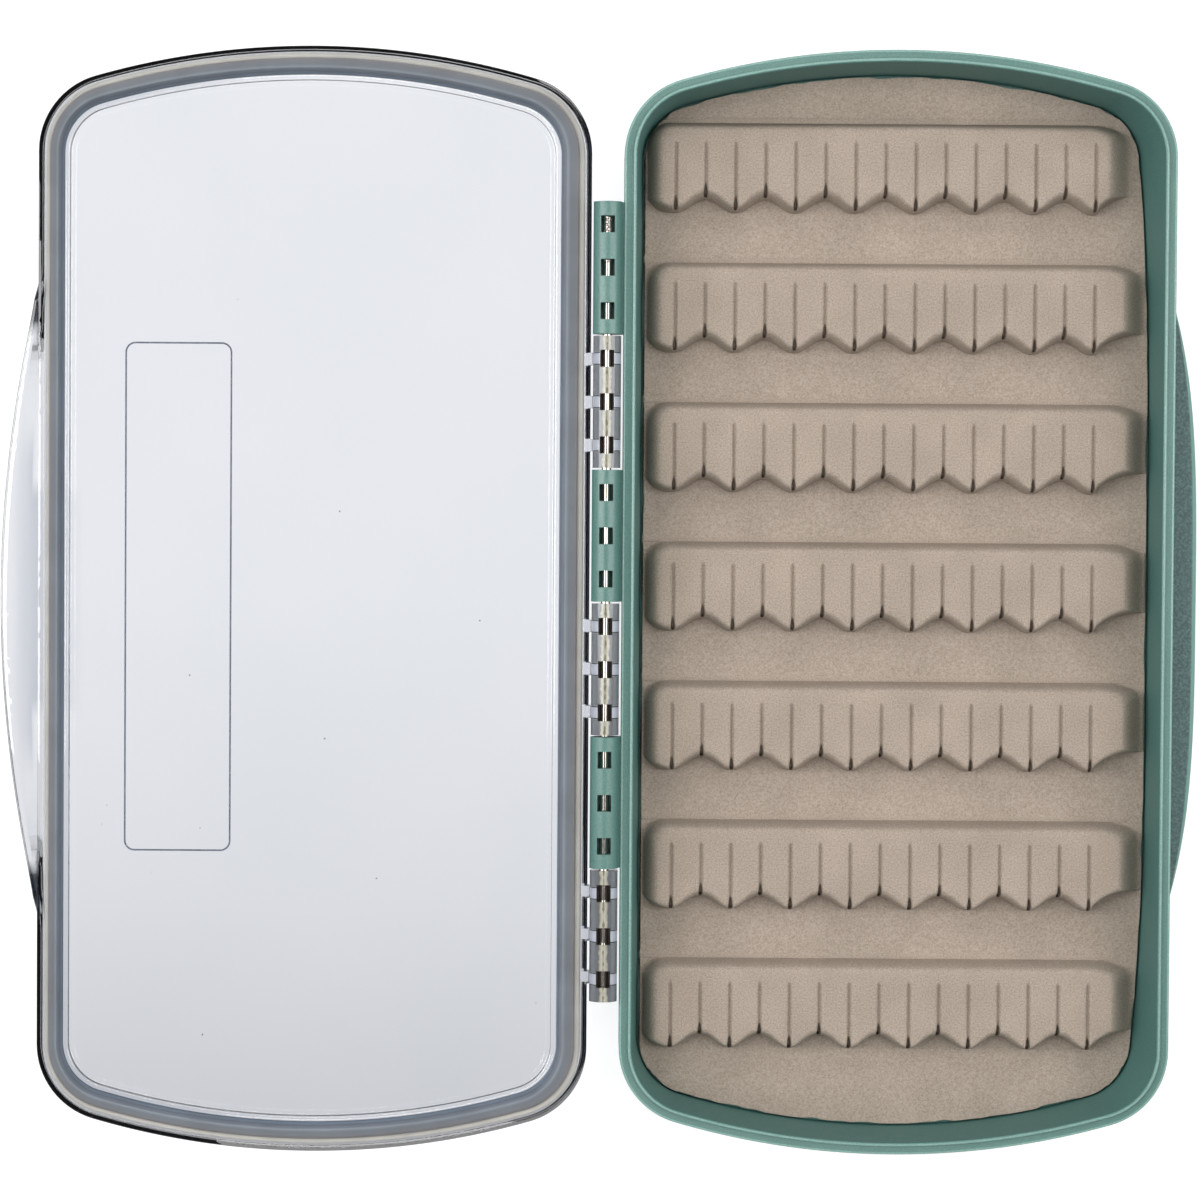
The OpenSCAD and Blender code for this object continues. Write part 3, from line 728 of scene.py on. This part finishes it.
def mat():
    columns = mat_columns()
    gy = mat_rows(columns)
    gx = np.broadcast_to(columns, gy.shape)
    flat = np.column_stack([gx.ravel(), gy.ravel()])
    height = np.zeros(len(flat))
    for low, high in RIDGES:
        near = (flat[:, 1] < high[1] + BACK_ROLL + 1.2) & (flat[:, 1] > low[1] - 1)
        height[near] = np.maximum(height[near], ridge_height(flat[near, 0], flat[near, 1], low, high))
    edge = outline(MAT_INSET, FREE_BOW, side_heights())
    edge[:, 0] += SHELL_X + FLOOR_LEAN
    # The die-cut edge wanders by a quarter of a millimetre and is slightly ragged
    turn = np.linspace(0, 2 * np.pi, len(edge), endpoint=False)
    inward = np.array([SHELL_X, 0]) - edge
    inward /= np.hypot(*inward.T)[:, None]
    wander = 0.12 * np.sin(turn * 23) + 0.13 * np.sin(turn * 41 + 1.7) + 0.11 * np.sin(turn * 97 + 0.4)
    wander += 0.05 * np.sin(turn * 151 + 2.1)
    edge += inward * np.maximum(0, 0.06 + wander)[:, None]
    inside = inside_outline(flat, edge)
    flat[~inside] = nearest_on_outline(flat[~inside], edge)
    height[~inside] = 0
    tall, wide = gy.shape
    index = np.arange(wide * tall).reshape(tall, wide)
    quads = np.stack([index[:-1, :-1], index[:-1, 1:], index[1:, 1:], index[1:, :-1]], axis=-1).reshape(-1, 4)
    quads = quads[inside[quads].any(axis=1)]
    piece = mesh_object("fly_mat", np.column_stack([flat, MAT_Z + height]), quads.tolist())
    foam_mesh = bmesh.new()
    foam_mesh.from_mesh(piece.data)
    bmesh.ops.delete(foam_mesh, geom=[v for v in foam_mesh.verts if not v.link_faces], context="VERTS")
    bmesh.ops.remove_doubles(foam_mesh, verts=foam_mesh.verts, dist=0.004 * MM)
    bmesh.ops.dissolve_degenerate(foam_mesh, edges=foam_mesh.edges, dist=0.002 * MM)
    border = [e for e in foam_mesh.edges if e.is_boundary]
    skirt = bmesh.ops.extrude_edge_only(foam_mesh, edges=border)["geom"]
    for vertex in (g for g in skirt if isinstance(g, bmesh.types.BMVert)):
        vertex.co.z = SHEET_LOW[2] * MM
    bmesh.ops.holes_fill(foam_mesh, edges=[e for e in foam_mesh.edges if e.is_boundary])
    bmesh.ops.recalc_face_normals(foam_mesh, faces=foam_mesh.faces)
    foam_mesh.to_mesh(piece.data)
    foam_mesh.free()
    for polygon in piece.data.polygons:
        polygon.use_smooth = abs(polygon.normal.z) > 0.05 or polygon.area < 1e-6
    piece.data.set_sharp_from_angle(angle=math.radians(75))
    dress(piece, "base", FOAM, "foam_mat", "mat_sheet", *[f"fly_ridge_{row}" for row in range(1, 8)])


# Lid

def web_heights():
    """Where along the pin the webs that carry the lid's knuckles start and end."""
    pairs = []
    for row in range(KNUCKLES_A_SHELL):
        top = LID_KNUCKLE_HIGH[1] - row * 2 * KNUCKLE_PITCH
        for window in range(3):
            middle = top - WINDOW_END - window * WINDOW_PITCH
            pairs.append((middle - WEB_W / 2, middle + WEB_W / 2))
    return pairs


def tab_section(reach):
    """The thumb tab's section where it reaches so far past the skirt, as (distance past it, height) points.

    Its top is flat and its edge rounded. Near its ends it is a flange on the skirt, whose underside slopes as it
    does further along; where it reaches out more, its underside runs on down to the panel.
    """
    low, top = LID_LOW[2], LID_TAB_HIGH[2]
    edge = top - 1.9
    near = min(1, reach)
    foot, full = reach - 0.75 * near, LID_LOW[0] - LID_TAB_LOW[0] - 0.75

    def slope(x):
        return low + (edge - low) * max(0, 1 - (foot - x) / (full + LID_EDGE_R)) ** 1.3

    def straight(x):
        share = (x + LID_EDGE_R) / (foot + LID_EDGE_R)
        return low + (edge - low) * share ** (1 + 0.3 * ease((reach - 4) / 2))

    filled = ease((reach - 1.4) / 1.0)
    under = []
    for a in np.linspace(0, np.pi / 2, 6):
        x = -LID_EDGE_R * (1 - math.sin(a))
        corner = min(low + LID_EDGE_R * (1 - math.cos(a)), slope(x))
        under.append((x, (1 - filled) * corner + filled * straight(x)))
    under += [(x, (1 - filled) * slope(x) + filled * straight(x)) for x in np.linspace(0.02, foot, 7)]
    bead = [(0.3, edge + 0.12), (0.06, edge + 0.4), (0, edge + 0.8), (0, top - 0.34), (0.08, top - 0.14),
            (0.24, top - 0.03), (0.42, top)]
    flat = reach - 0.42 * near
    return np.array(under + [(reach - back * near, z) for back, z in bead]
                    + [(flat * part, top) for part in (0.8, 0.5, 0.21, 0.16, 0)])


def gutter_lean(path, x):
    """How far the rings' points at x sit towards the free side: the gutter is wider along the hinge."""
    insets = np.array([entry[0] for entry in path])
    share = np.clip((insets - SKIRT_T) / (RIB_IN - SKIRT_T), 0, 1)
    return share[:, None] * (GUTTER_LEAN + HINGE_LEAN * ease((x + SHELL_X) / (CASE_W / 2)))


def lid():
    """The whole clear moulding but its knuckles: window, skirt, seal rib, thumb tab and the webs to the knuckles."""
    low, rim, top = LID_LOW[2], LID_RIM_Z, LID_TAB_HIGH[2]
    rib_end = RIB_IN + RIB_T
    web_low, web_top = PIN_Z - KNUCKLE_D / 2, PIN_Z - 0.5
    corner = [(LID_EDGE_R * (1 - math.sin(a)), low + LID_EDGE_R * (1 - math.cos(a)), 0)
              for a in np.linspace(0, np.pi / 2, 13)]
    full = LID_LOW[0] - LID_TAB_LOW[0]
    rest = len(tab_section(full)) - len(corner)
    wall = [(0, z, 0) for z in np.linspace(low + LID_EDGE_R, web_top, rest + 1)[1:]]
    inner = rounded([
        (0, top + 0.005, 0, 0),
        (0, top + 0.03, 0, 0),
        (0, rim, 0, 0.1),
        (0.5, rim, 0, 0),
        (0.55, rim, 0, 0),
        (0.9, rim, 0, 0),
        (0.93, rim, 0, 0),
        (SKIRT_T, rim, 0, 0.05),
        (SKIRT_T, PANEL_Z, 0, 0),
        (RIB_IN, PANEL_Z, 0, 0),
        (RIB_IN, PANEL_Z + RIB_H, 0, 0.2),
        (rib_end, PANEL_Z + RIB_H, 0, 0.3),
        (rib_end + 0.1, PANEL_Z + STEP_H, 0, 0.2),
        (rib_end + STEP_W, PANEL_Z + STEP_H, 0, 0.04),
        (rib_end + STEP_W + 0.15, PANEL_Z, 0, 0.04),
        (rib_end + 2.5, PANEL_Z, 0, 0),
    ])
    path = [(7, low, 0)] + corner + wall + [tuple(p) for p in inner]
    outside = 1 + len(corner) + len(wall)
    webs = web_heights()
    edges = [y + nudge for pair in webs for y in pair for nudge in (-0.05, 0.05)]
    fine = np.linspace(-LID_TAB_HIGH[1] - 7, LID_TAB_HIGH[1] + 7, 93)
    piece = shell_piece("lid_window_shell", path, mirrored=True, heights=side_heights(edges + fine.tolist()))
    places = np.array([v.co[:] for v in piece.data.vertices]).reshape(len(path), -1, 3) / MM
    places[outside:, :, 0] -= gutter_lean(path[outside:], places[0, :, 0])
    y = places[0, :, 1]
    free = places[0, :, 0] < -SHELL_X
    # A parabola that runs softly into the skirt at both ends
    reach = TAB_BLEND * np.log1p(np.exp(full / TAB_BLEND * (1 - (y / LID_TAB_HIGH[1]) ** 2)))
    reach = np.where(free, np.minimum(full, reach) * ease((LID_TAB_HIGH[1] + 6.5 - np.abs(y)) / 5), 0)
    in_web = np.zeros(len(y), bool)
    for bottom, upper in webs:
        in_web |= (y > bottom) & (y < upper)
    in_web &= ~free
    # The corner is filled under each web, as a gusset
    for part, ring in zip(np.linspace(0, 2, len(corner)), places[1:]):
        ring[in_web, 0] = -HINGE_OFF - LID_EDGE_R * max(0, 1 - part)
        ring[in_web, 2] = low + LID_EDGE_R * max(0, part - 1)
    for ring in places[1 + len(corner):outside]:
        if web_low - 0.01 < ring[in_web][0, 2] < web_top + 0.01:
            drop = PIN_Z - ring[in_web][0, 2]
            barrel = math.sqrt(max(0, (KNUCKLE_D / 2) ** 2 - drop**2))
            ring[in_web, 0] = -max(barrel, KNUCKLE_D / 4) - 0.03
    for column in np.flatnonzero(reach > 0):
        tab = tab_section(reach[column])
        share = np.full(len(tab), ease(reach[column] / 0.8))
        share[:len(corner)] = ease(reach[column] / 1.1)
        spot = places[1:outside, column]
        spot[:, 0] += share * (LID_LOW[0] - tab[:, 0] - spot[:, 0])
        spot[:, 2] += share * (tab[:, 1] - spot[:, 2])
    thick = np.zeros(places.shape[:2])
    past = (LID_LOW[0] - places[1:outside, :, 0]) / np.maximum(reach, 0.1)
    clear_strip = (past < 0.17) * ease((5.7 - reach) / 0.4)
    thick[1:outside] = ease((reach - 4.0) / 1.3) * np.clip(1.15 - 1.55 * past, 0.05, 1) * (1 - clear_strip)
    thick[5:outside, in_web] = 1
    rib = [i for i, (inset, z, _) in enumerate(path) if RIB_IN - 0.01 < inset < rib_end + 0.05 and z > PANEL_Z + 0.4]
    thick[rib] = np.clip((-SHELL_X - places[0, :, 0]) / 30, 0, 1)
    # A dark band is painted as shade where the rim's edge traps light, wider along the hinge, and where the tab runs
    # out
    hinge = np.clip((places[0, :, 0] + 14) / 10, 0, 1)
    band = np.where(in_web, 0.1, 1 - 0.75 * ease((reach - 1.4) / 0.6))
    broad = np.maximum(hinge, ease((reach - 2) / 2))
    painted_edge_shade = np.zeros(places.shape[:2])
    for i, (inset, z, _) in enumerate(path):
        if z > top + 0.004 and inset < 0.52:
            painted_edge_shade[i] = band
        elif z > rim - 0.001 and inset < 0.92:
            painted_edge_shade[i] = band * broad
    painted_edge_shade[1 + len(corner):outside] = ease(reach / 0.5) * (1 - ease((reach - 1.4) / 0.6))
    # The bead where the tab runs out is painted dark too, as painted shade
    bead = slice(1 + len(corner) + 2, 1 + len(corner) + 6)
    fade = np.array([[1], [1], [1], [0.6]])
    painted_edge_shade[bead] = np.maximum(painted_edge_shade[bead], 0.85 * fade * ease((reach - 1) / 0.5))
    piece.data.vertices.foreach_set("co", (places * MM).ravel())
    for name, values in (("thick", thick), ("edge", painted_edge_shade)):
        piece.data.attributes.new(name, "FLOAT", "POINT").data.foreach_set("value", values.ravel())
    piece.data.update()
    smooth(piece, 32)
    dress(piece, "lid", CLEAR, "clear_plastic", "lid_shell", "lid_thumb_tab")


def seal():
    low, top = SEAL_LOW[2], SEAL_HIGH[2]
    start = SKIRT_T + 0.1
    end = RIB_IN - 0.1
    shelf = top - 0.55
    profile = [
        (start, low, 0, 0),
        (start, shelf, 0, 0.25),
        (start + 0.75, shelf, 0, 0.15),
        (start + 0.9, top, 0, 0.3),
        (end - 0.75, top, 0, 0.3),
        (end - 0.55, top - 0.4, 0, 0.2),
        (end - 0.25, top - 1.4, 0, 0.2),
        (end, top - 1.7, 0, 0.2),
        (end, low, 0, 0),
    ]
    path = rounded(profile)
    piece = shell_piece("seal_ring", path, mirrored=True, closed=True)
    first = np.array([v.co.x for v in piece.data.vertices[:len(piece.data.vertices) // len(path)]]) / MM
    lean_rings(piece, -gutter_lean(path, first))
    smooth(piece)
    dress(piece, "lid", SEAL, "seal_rubber", "lid_seal")


def plate_outline():
    """The bare raised outline on the outer face of the window, a thin rounded bead."""
    x0, x1, y0, y1 = -80.8, -63.1, -42.4, 43.0
    radius, half_w, rise = 1.6, 0.14, 0.14
    centre = [(x1 - radius, y1 - radius), (x0 + radius, y1 - radius), (x0 + radius, y0 + radius),
              (x1 - radius, y0 + radius)]
    z = LID_LOW[2] - 0.02
    rings = []
    for across, down in ((-half_w, 0), (-half_w * 0.5, rise), (half_w * 0.5, rise), (half_w, 0)):
        loop = np.concatenate([
            arc(cx, cy, radius + across, turn * np.pi / 2, (turn + 1) * np.pi / 2, 8)
            for turn, (cx, cy) in enumerate(centre)
        ])
        rings.append(np.column_stack([loop, np.full(len(loop), z - down)]))
    piece = mesh_object("plate_outline", np.concatenate(rings), ring_faces(4, len(rings[0]), closed=True))
    smooth(piece, 60)
    dress(piece, "lid", BEAD, "clear_plastic")


# Hinge

def knuckle_tree():
    """Geometry Nodes tree for the knuckles of one shell: bored and windowed barrels with their webs."""
    tree = bpy.data.node_groups.new("knuckle_row", "GeometryNodeTree")
    lengths = ["Length", "Diameter", "Bore", "Window Width", "Window Length", "Window Depth", "Window Pitch", "First Window",
               "Row Pitch", "Web Length", "Web Reach", "Web Start", "Web Height", "Web Drop"]
    for name in lengths:
        tree.interface.new_socket(name, in_out="INPUT", socket_type="NodeSocketFloat")
    for name in ("Knuckles", "Windows", "Webs"):
        tree.interface.new_socket(name, in_out="INPUT", socket_type="NodeSocketInt")
    tree.interface.new_socket("Material", in_out="INPUT", socket_type="NodeSocketMaterial")
    tree.interface.new_socket("Geometry", in_out="OUTPUT", socket_type="NodeSocketGeometry")
    given = add(tree, "NodeGroupInput").outputs

    def maths(operation, a, b):
        return add(tree, "ShaderNodeMath", {0: a, 1: b}, operation=operation).outputs[0]

    def vector(x, y, z):
        return add(tree, "ShaderNodeCombineXYZ", {"X": x, "Y": y, "Z": z}).outputs[0]

    def copies(count, start, step, what):
        line = add(tree, "GeometryNodeMeshLine", {"Count": count, "Start Location": start, "Offset": step})
        placed = add(tree, "GeometryNodeInstanceOnPoints", {"Points": line.outputs[0], "Instance": what})
        return add(tree, "GeometryNodeRealizeInstances", {0: placed.outputs[0]}).outputs[0]

    def barrel(sides, diameter, depth):
        radius = maths("MULTIPLY", diameter, 0.5)
        rod = add(tree, "GeometryNodeMeshCylinder", {"Vertices": sides, "Radius": radius, "Depth": depth})
        middle = vector(0.0, maths("MULTIPLY", given["Length"], -0.5), 0.0)
        turned = add(tree, "GeometryNodeTransform", {
            "Geometry": rod.outputs[0], "Translation": middle, "Rotation": (math.pi / 2, 0, 0),
        })
        return turned.outputs[0]

    half_d = maths("MULTIPLY", given["Diameter"], 0.5)
    web_size = vector(maths("ABSOLUTE", given["Web Reach"], 0.0), given["Web Length"], given["Web Height"])
    web = add(tree, "GeometryNodeMeshCube", {"Size": web_size}).outputs[0]
    down = maths("MULTIPLY", given["Window Pitch"], -1.0)
    web_at = vector(maths("MULTIPLY", given["Web Reach"], 0.5), maths("MULTIPLY", given["Web Start"], -1.0),
                    maths("MULTIPLY", given["Web Drop"], -1.0))
    webs = copies(given["Webs"], web_at, vector(0.0, down, 0.0), web)
    solid = add(tree, "GeometryNodeMeshBoolean", operation="UNION", solver="MANIFOLD")
    tree.links.new(barrel(96, given["Diameter"], given["Length"]), solid.inputs["Mesh 2"])
    tree.links.new(webs, solid.inputs["Mesh 2"])
    window_size = vector(given["Window Width"], given["Window Length"], maths("MULTIPLY", given["Window Depth"], 2.0))
    window = add(tree, "GeometryNodeMeshCube", {"Size": window_size}).outputs[0]
    window_at = vector(0.0, maths("MULTIPLY", given["First Window"], -1.0), half_d)
    windows = copies(given["Windows"], window_at, vector(0.0, down, 0.0), window)
    bored = add(tree, "GeometryNodeMeshBoolean", {"Mesh 1": solid.outputs["Mesh"]}, operation="DIFFERENCE",
                solver="MANIFOLD")
    tree.links.new(barrel(64, given["Bore"], maths("MULTIPLY", given["Length"], 1.2)), bored.inputs["Mesh 2"])
    tree.links.new(windows, bored.inputs["Mesh 2"])
    step = vector(0.0, maths("MULTIPLY", given["Row Pitch"], -1.0), 0.0)
    row = copies(given["Knuckles"], vector(0.0, 0.0, 0.0), step, bored.outputs["Mesh"])
    done = add(tree, "GeometryNodeSetMaterial", {"Geometry": row, "Material": given["Material"]})
    add(tree, "NodeGroupOutput", {"Geometry": done.outputs[0]})
    return tree


def grown(name, tree, values, place):
    """Runs a Geometry Nodes tree once and keeps its result as a plain mesh moved to place, in millimetres."""
    carrier = bpy.data.objects.new(name + "_carrier", bpy.data.meshes.new(name + "_carrier"))
    bpy.context.scene.collection.objects.link(carrier)
    modifier = carrier.modifiers.new("grow", "NODES")
    modifier.node_group = tree
    sockets = {item.name: item.identifier for item in tree.interface.items_tree if item.in_out == "INPUT"}
    for key, value in values.items():
        modifier[sockets[key]] = value
    bpy.context.view_layer.update()
    seen = carrier.evaluated_get(bpy.context.evaluated_depsgraph_get())
    piece = bpy.data.objects.new(name, bpy.data.meshes.new_from_object(seen))
    bpy.context.scene.collection.objects.link(piece)
    carrier.modifiers.remove(modifier)
    bpy.data.objects.remove(carrier)
    for vertex in piece.data.vertices:
        vertex.co += Vector(place) * MM
    return piece


def knuckles():
    tree = knuckle_tree()
    shared = {
        "Length": KNUCKLE_L * MM, "Diameter": KNUCKLE_D * MM, "Bore": BORE_D * MM,
        "Window Width": WINDOW_W * MM, "Window Length": WINDOW_L * MM, "Window Depth": (KNUCKLE_D / 2 + 1.3) * MM,
        "Window Pitch": WINDOW_PITCH * MM,
        "First Window": WINDOW_END * MM, "Row Pitch": 2 * KNUCKLE_PITCH * MM,
        "Web Height": 1.9 * MM, "Web Drop": 1.45 * MM,
        "Knuckles": KNUCKLES_A_SHELL, "Windows": 3,
    }
    tray_side = {
        **shared, "Web Length": KNUCKLE_L * MM, "Web Reach": HINGE_OFF * MM, "Web Start": KNUCKLE_L / 2 * MM,
        "Webs": 1, "Material": GREEN,
    }
    lid_side = {
        **shared, "Diameter": (KNUCKLE_D - 0.16) * MM, "Web Length": WEB_W * MM, "Web Reach": -KNUCKLE_D / 4 * MM,
        "Web Start": WINDOW_END * MM, "Webs": 0, "Material": HAZY_WITH_PAINTED_LIGHT,
    }
    for name, body, values, top, material, slot in (
        ("tray_knuckle_row", "base", tray_side, KNUCKLE_HIGH[1], GREEN, "green_plastic"),
        ("lid_knuckle_row", "lid", lid_side, LID_KNUCKLE_HIGH[1], HAZY_WITH_PAINTED_LIGHT, "clear_plastic"),
    ):
        piece = grown(name, tree, values, (0, top, PIN_Z))
        smooth(piece, 30)
        replaced = [f"{body}_knuckle_{order}" for order in (1, 2, 3)]
        dress(piece, body, material, slot, *replaced)


def pin():
    """The steel pin with its diamond knurl: two crossed helical waves raise the teeth."""
    sides, radius = 96, PIN_D / 2
    top, bottom = PIN_HIGH[1], PIN_LOW[1]
    knurl_rows = np.arange(top - 0.25, top - KNURL_L, -0.06)
    shank_top = top - KNURL_L - 0.06
    rows = np.concatenate([[top, top - 0.12], knurl_rows, [shank_top, shank_top - 0.06],
                           np.linspace(shank_top - 0.2, bottom + 0.3, 40), [bottom + 0.12, bottom]])
    angles = np.linspace(0, 2 * np.pi, sides, endpoint=False)
    points = []
    for i, y in enumerate(rows):
        r = np.full(sides, radius)
        if y in knurl_rows:
            turn = angles * 9 / (2 * np.pi)
            climb = (top - y) / 0.8
            left = np.abs((turn + climb) % 1 - 0.5) * 2
            right = np.abs((turn - climb) % 1 - 0.5) * 2
            r += 0.1 * np.minimum(1, 4 * np.minimum(left, right)) - 0.02
        if i in (0, len(rows) - 1):
            r -= 0.15
        points.append(np.column_stack([r * np.cos(angles), np.full(sides, y), PIN_Z + r * np.sin(angles)]))
    faces = ring_faces(len(rows), sides, closed=False)
    last = (len(rows) - 1) * sides
    faces += [tuple(range(sides)), tuple(range(last, last + sides))]
    piece = mesh_object("pin", np.concatenate(points), faces)
    smooth(piece, 60)
    dress(piece, "base", STEEL, "pin_steel", "hinge_pin")


# Stage, lights and camera

def stage_material():
    """White ground that carries the soft shadow; mirrors and clear plastic see it lit, with painted shade that darkens
    it towards -Y.
    """
    material, tree, place = start_material("studio_white")
    rays = add(tree, "ShaderNodeLightPath").outputs
    through = add(tree, "ShaderNodeMath", {0: rays["Is Glossy Ray"], 1: rays["Is Transmission Ray"]},
                  operation="MAXIMUM")
    y = add(tree, "ShaderNodeSeparateXYZ", {"Vector": place}).outputs["Y"]
    down = add(tree, "ShaderNodeMapRange", {"Value": y, "From Min": 92 * MM, "From Max": -92 * MM})
    # Painted shade: the ground seen through clear plastic and in mirrors darkens towards -Y
    painted_falloff = ramp(tree, down.outputs["Result"], [(0.0, "#ffffff"), (0.5, "#fcfcfd"), (0.78, "#f0f0f1"), (1.0, "#dddddf")])
    glow = add(tree, "ShaderNodeEmission", {"Color": painted_falloff})
    matte = add(tree, "ShaderNodeBsdfDiffuse", {"Color": (0.4, 0.4, 0.4, 1)})
    fill = add(tree, "ShaderNodeEmission", {"Color": (1, 1, 1, 1), "Strength": 0.74})
    seen = add(tree, "ShaderNodeMixShader", {0: rays["Is Camera Ray"], 1: matte.outputs[0]})
    lit = add(tree, "ShaderNodeAddShader", {0: fill.outputs[0], 1: matte.outputs[0]})
    tree.links.new(lit.outputs[0], seen.inputs[2])
    both = add(tree, "ShaderNodeMixShader", {0: through.outputs[0], 1: seen.outputs[0], 2: glow.outputs[0]})
    finish_material(tree, both.outputs[0])
    return material


def stage():
    half = 2000
    points = [(-half, -half, -0.02), (half, -half, -0.02), (half, half, -0.02), (-half, half, -0.02)]
    floor = mesh_object("floor", points, [(0, 1, 2, 3)])
    floor.data.materials.append(stage_material())
    world = bpy.data.worlds.new("studio")
    bpy.context.scene.world = world
    world.use_nodes = True
    tree = world.node_tree
    tree.nodes.clear()
    rays = add(tree, "ShaderNodeLightPath").outputs
    toward = add(tree, "ShaderNodeTexCoord").outputs["Generated"]
    rise = add(tree, "ShaderNodeSeparateXYZ", {"Vector": toward}).outputs["Z"]
    room = add(tree, "ShaderNodeMapRange", {
        "Value": rise, "From Min": 0.1, "From Max": 0.75, "To Min": 0.9, "To Max": 0.14,
    })
    through = add(tree, "ShaderNodeMath", {0: rays["Is Glossy Ray"], 1: rays["Is Transmission Ray"]},
                  operation="MAXIMUM")
    plain = add(tree, "ShaderNodeMapRange", {"Value": rays["Is Camera Ray"], "To Min": 0.42, "To Max": 1.0})
    strength = add(tree, "ShaderNodeMix", {
        0: through.outputs[0], 2: plain.outputs["Result"], 3: room.outputs["Result"],
    }, data_type="FLOAT")
    light = add(tree, "ShaderNodeBackground", {"Color": (1, 1, 1, 1), "Strength": strength.outputs[0]})
    add(tree, "ShaderNodeOutputWorld", {"Surface": light.outputs[0]})


def softbox(name, place, size, watts):
    """A rectangular lamp that looks at the middle of the object, place and size in millimetres."""
    data = bpy.data.lights.new(name, "AREA")
    data.shape = "RECTANGLE"
    data.size, data.size_y = size[0] * MM, size[1] * MM
    data.energy = watts
    lamp = bpy.data.objects.new(name, data)
    lamp.location = Vector(place) * MM
    lamp.rotation_euler = (Vector((0, 0, 0)) - lamp.location).to_track_quat("-Z", "Y").to_euler()
    lamp.visible_transmission = False
    bpy.context.scene.collection.objects.link(lamp)


def lights():
    softbox("left_box", (-620, 60, 720), (260, 900), 5.2)
    softbox("right_box", (620, 60, 720), (260, 900), 3.9)
    softbox("top_box", (0, 800, 700), (900, 260), 2.6)
    softbox("over_box", (0, 290, 900), (320, 120), 0.9)
    softbox("foot_box", (0, -300, 900), (320, 120), 0.6)


def camera():
    """Looks down from 600 mm above the rims, with the picture's foot a little further away."""
    distance = 600
    target = Vector((-0.92, 0.4, PIN_Z)) * MM
    nadir_px, middle_px, px_per_mm = 503, 600, 6.0
    lean = (middle_px - nadir_px) / px_per_mm
    roll = math.radians(0.385)
    data = bpy.data.cameras.new("camera")
    data.lens = 108
    data.sensor_width = 36
    eye = bpy.data.objects.new("camera", data)
    bpy.context.scene.collection.objects.link(eye)
    eye.location = target + Vector((0, lean, distance)) * MM
    forward = (target - eye.location).normalized()
    up = Vector((-math.sin(roll), math.cos(roll), 0))
    right = forward.cross(up).normalized()
    up = right.cross(forward)
    eye.matrix_world = (
        Matrix((right, up, -forward)).transposed().to_4x4()
    )
    eye.location = target + Vector((0, lean, distance)) * MM
    bpy.context.scene.camera = eye


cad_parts["mat_adhesive"].data.materials.clear()
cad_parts["mat_adhesive"].data.materials.append(FILM)
tray()
tray_tab()
mat()
lid()
seal()
plate_outline()
knuckles()
pin()
stage()
lights()
camera()
bpy.context.scene.view_settings.view_transform = "Standard"
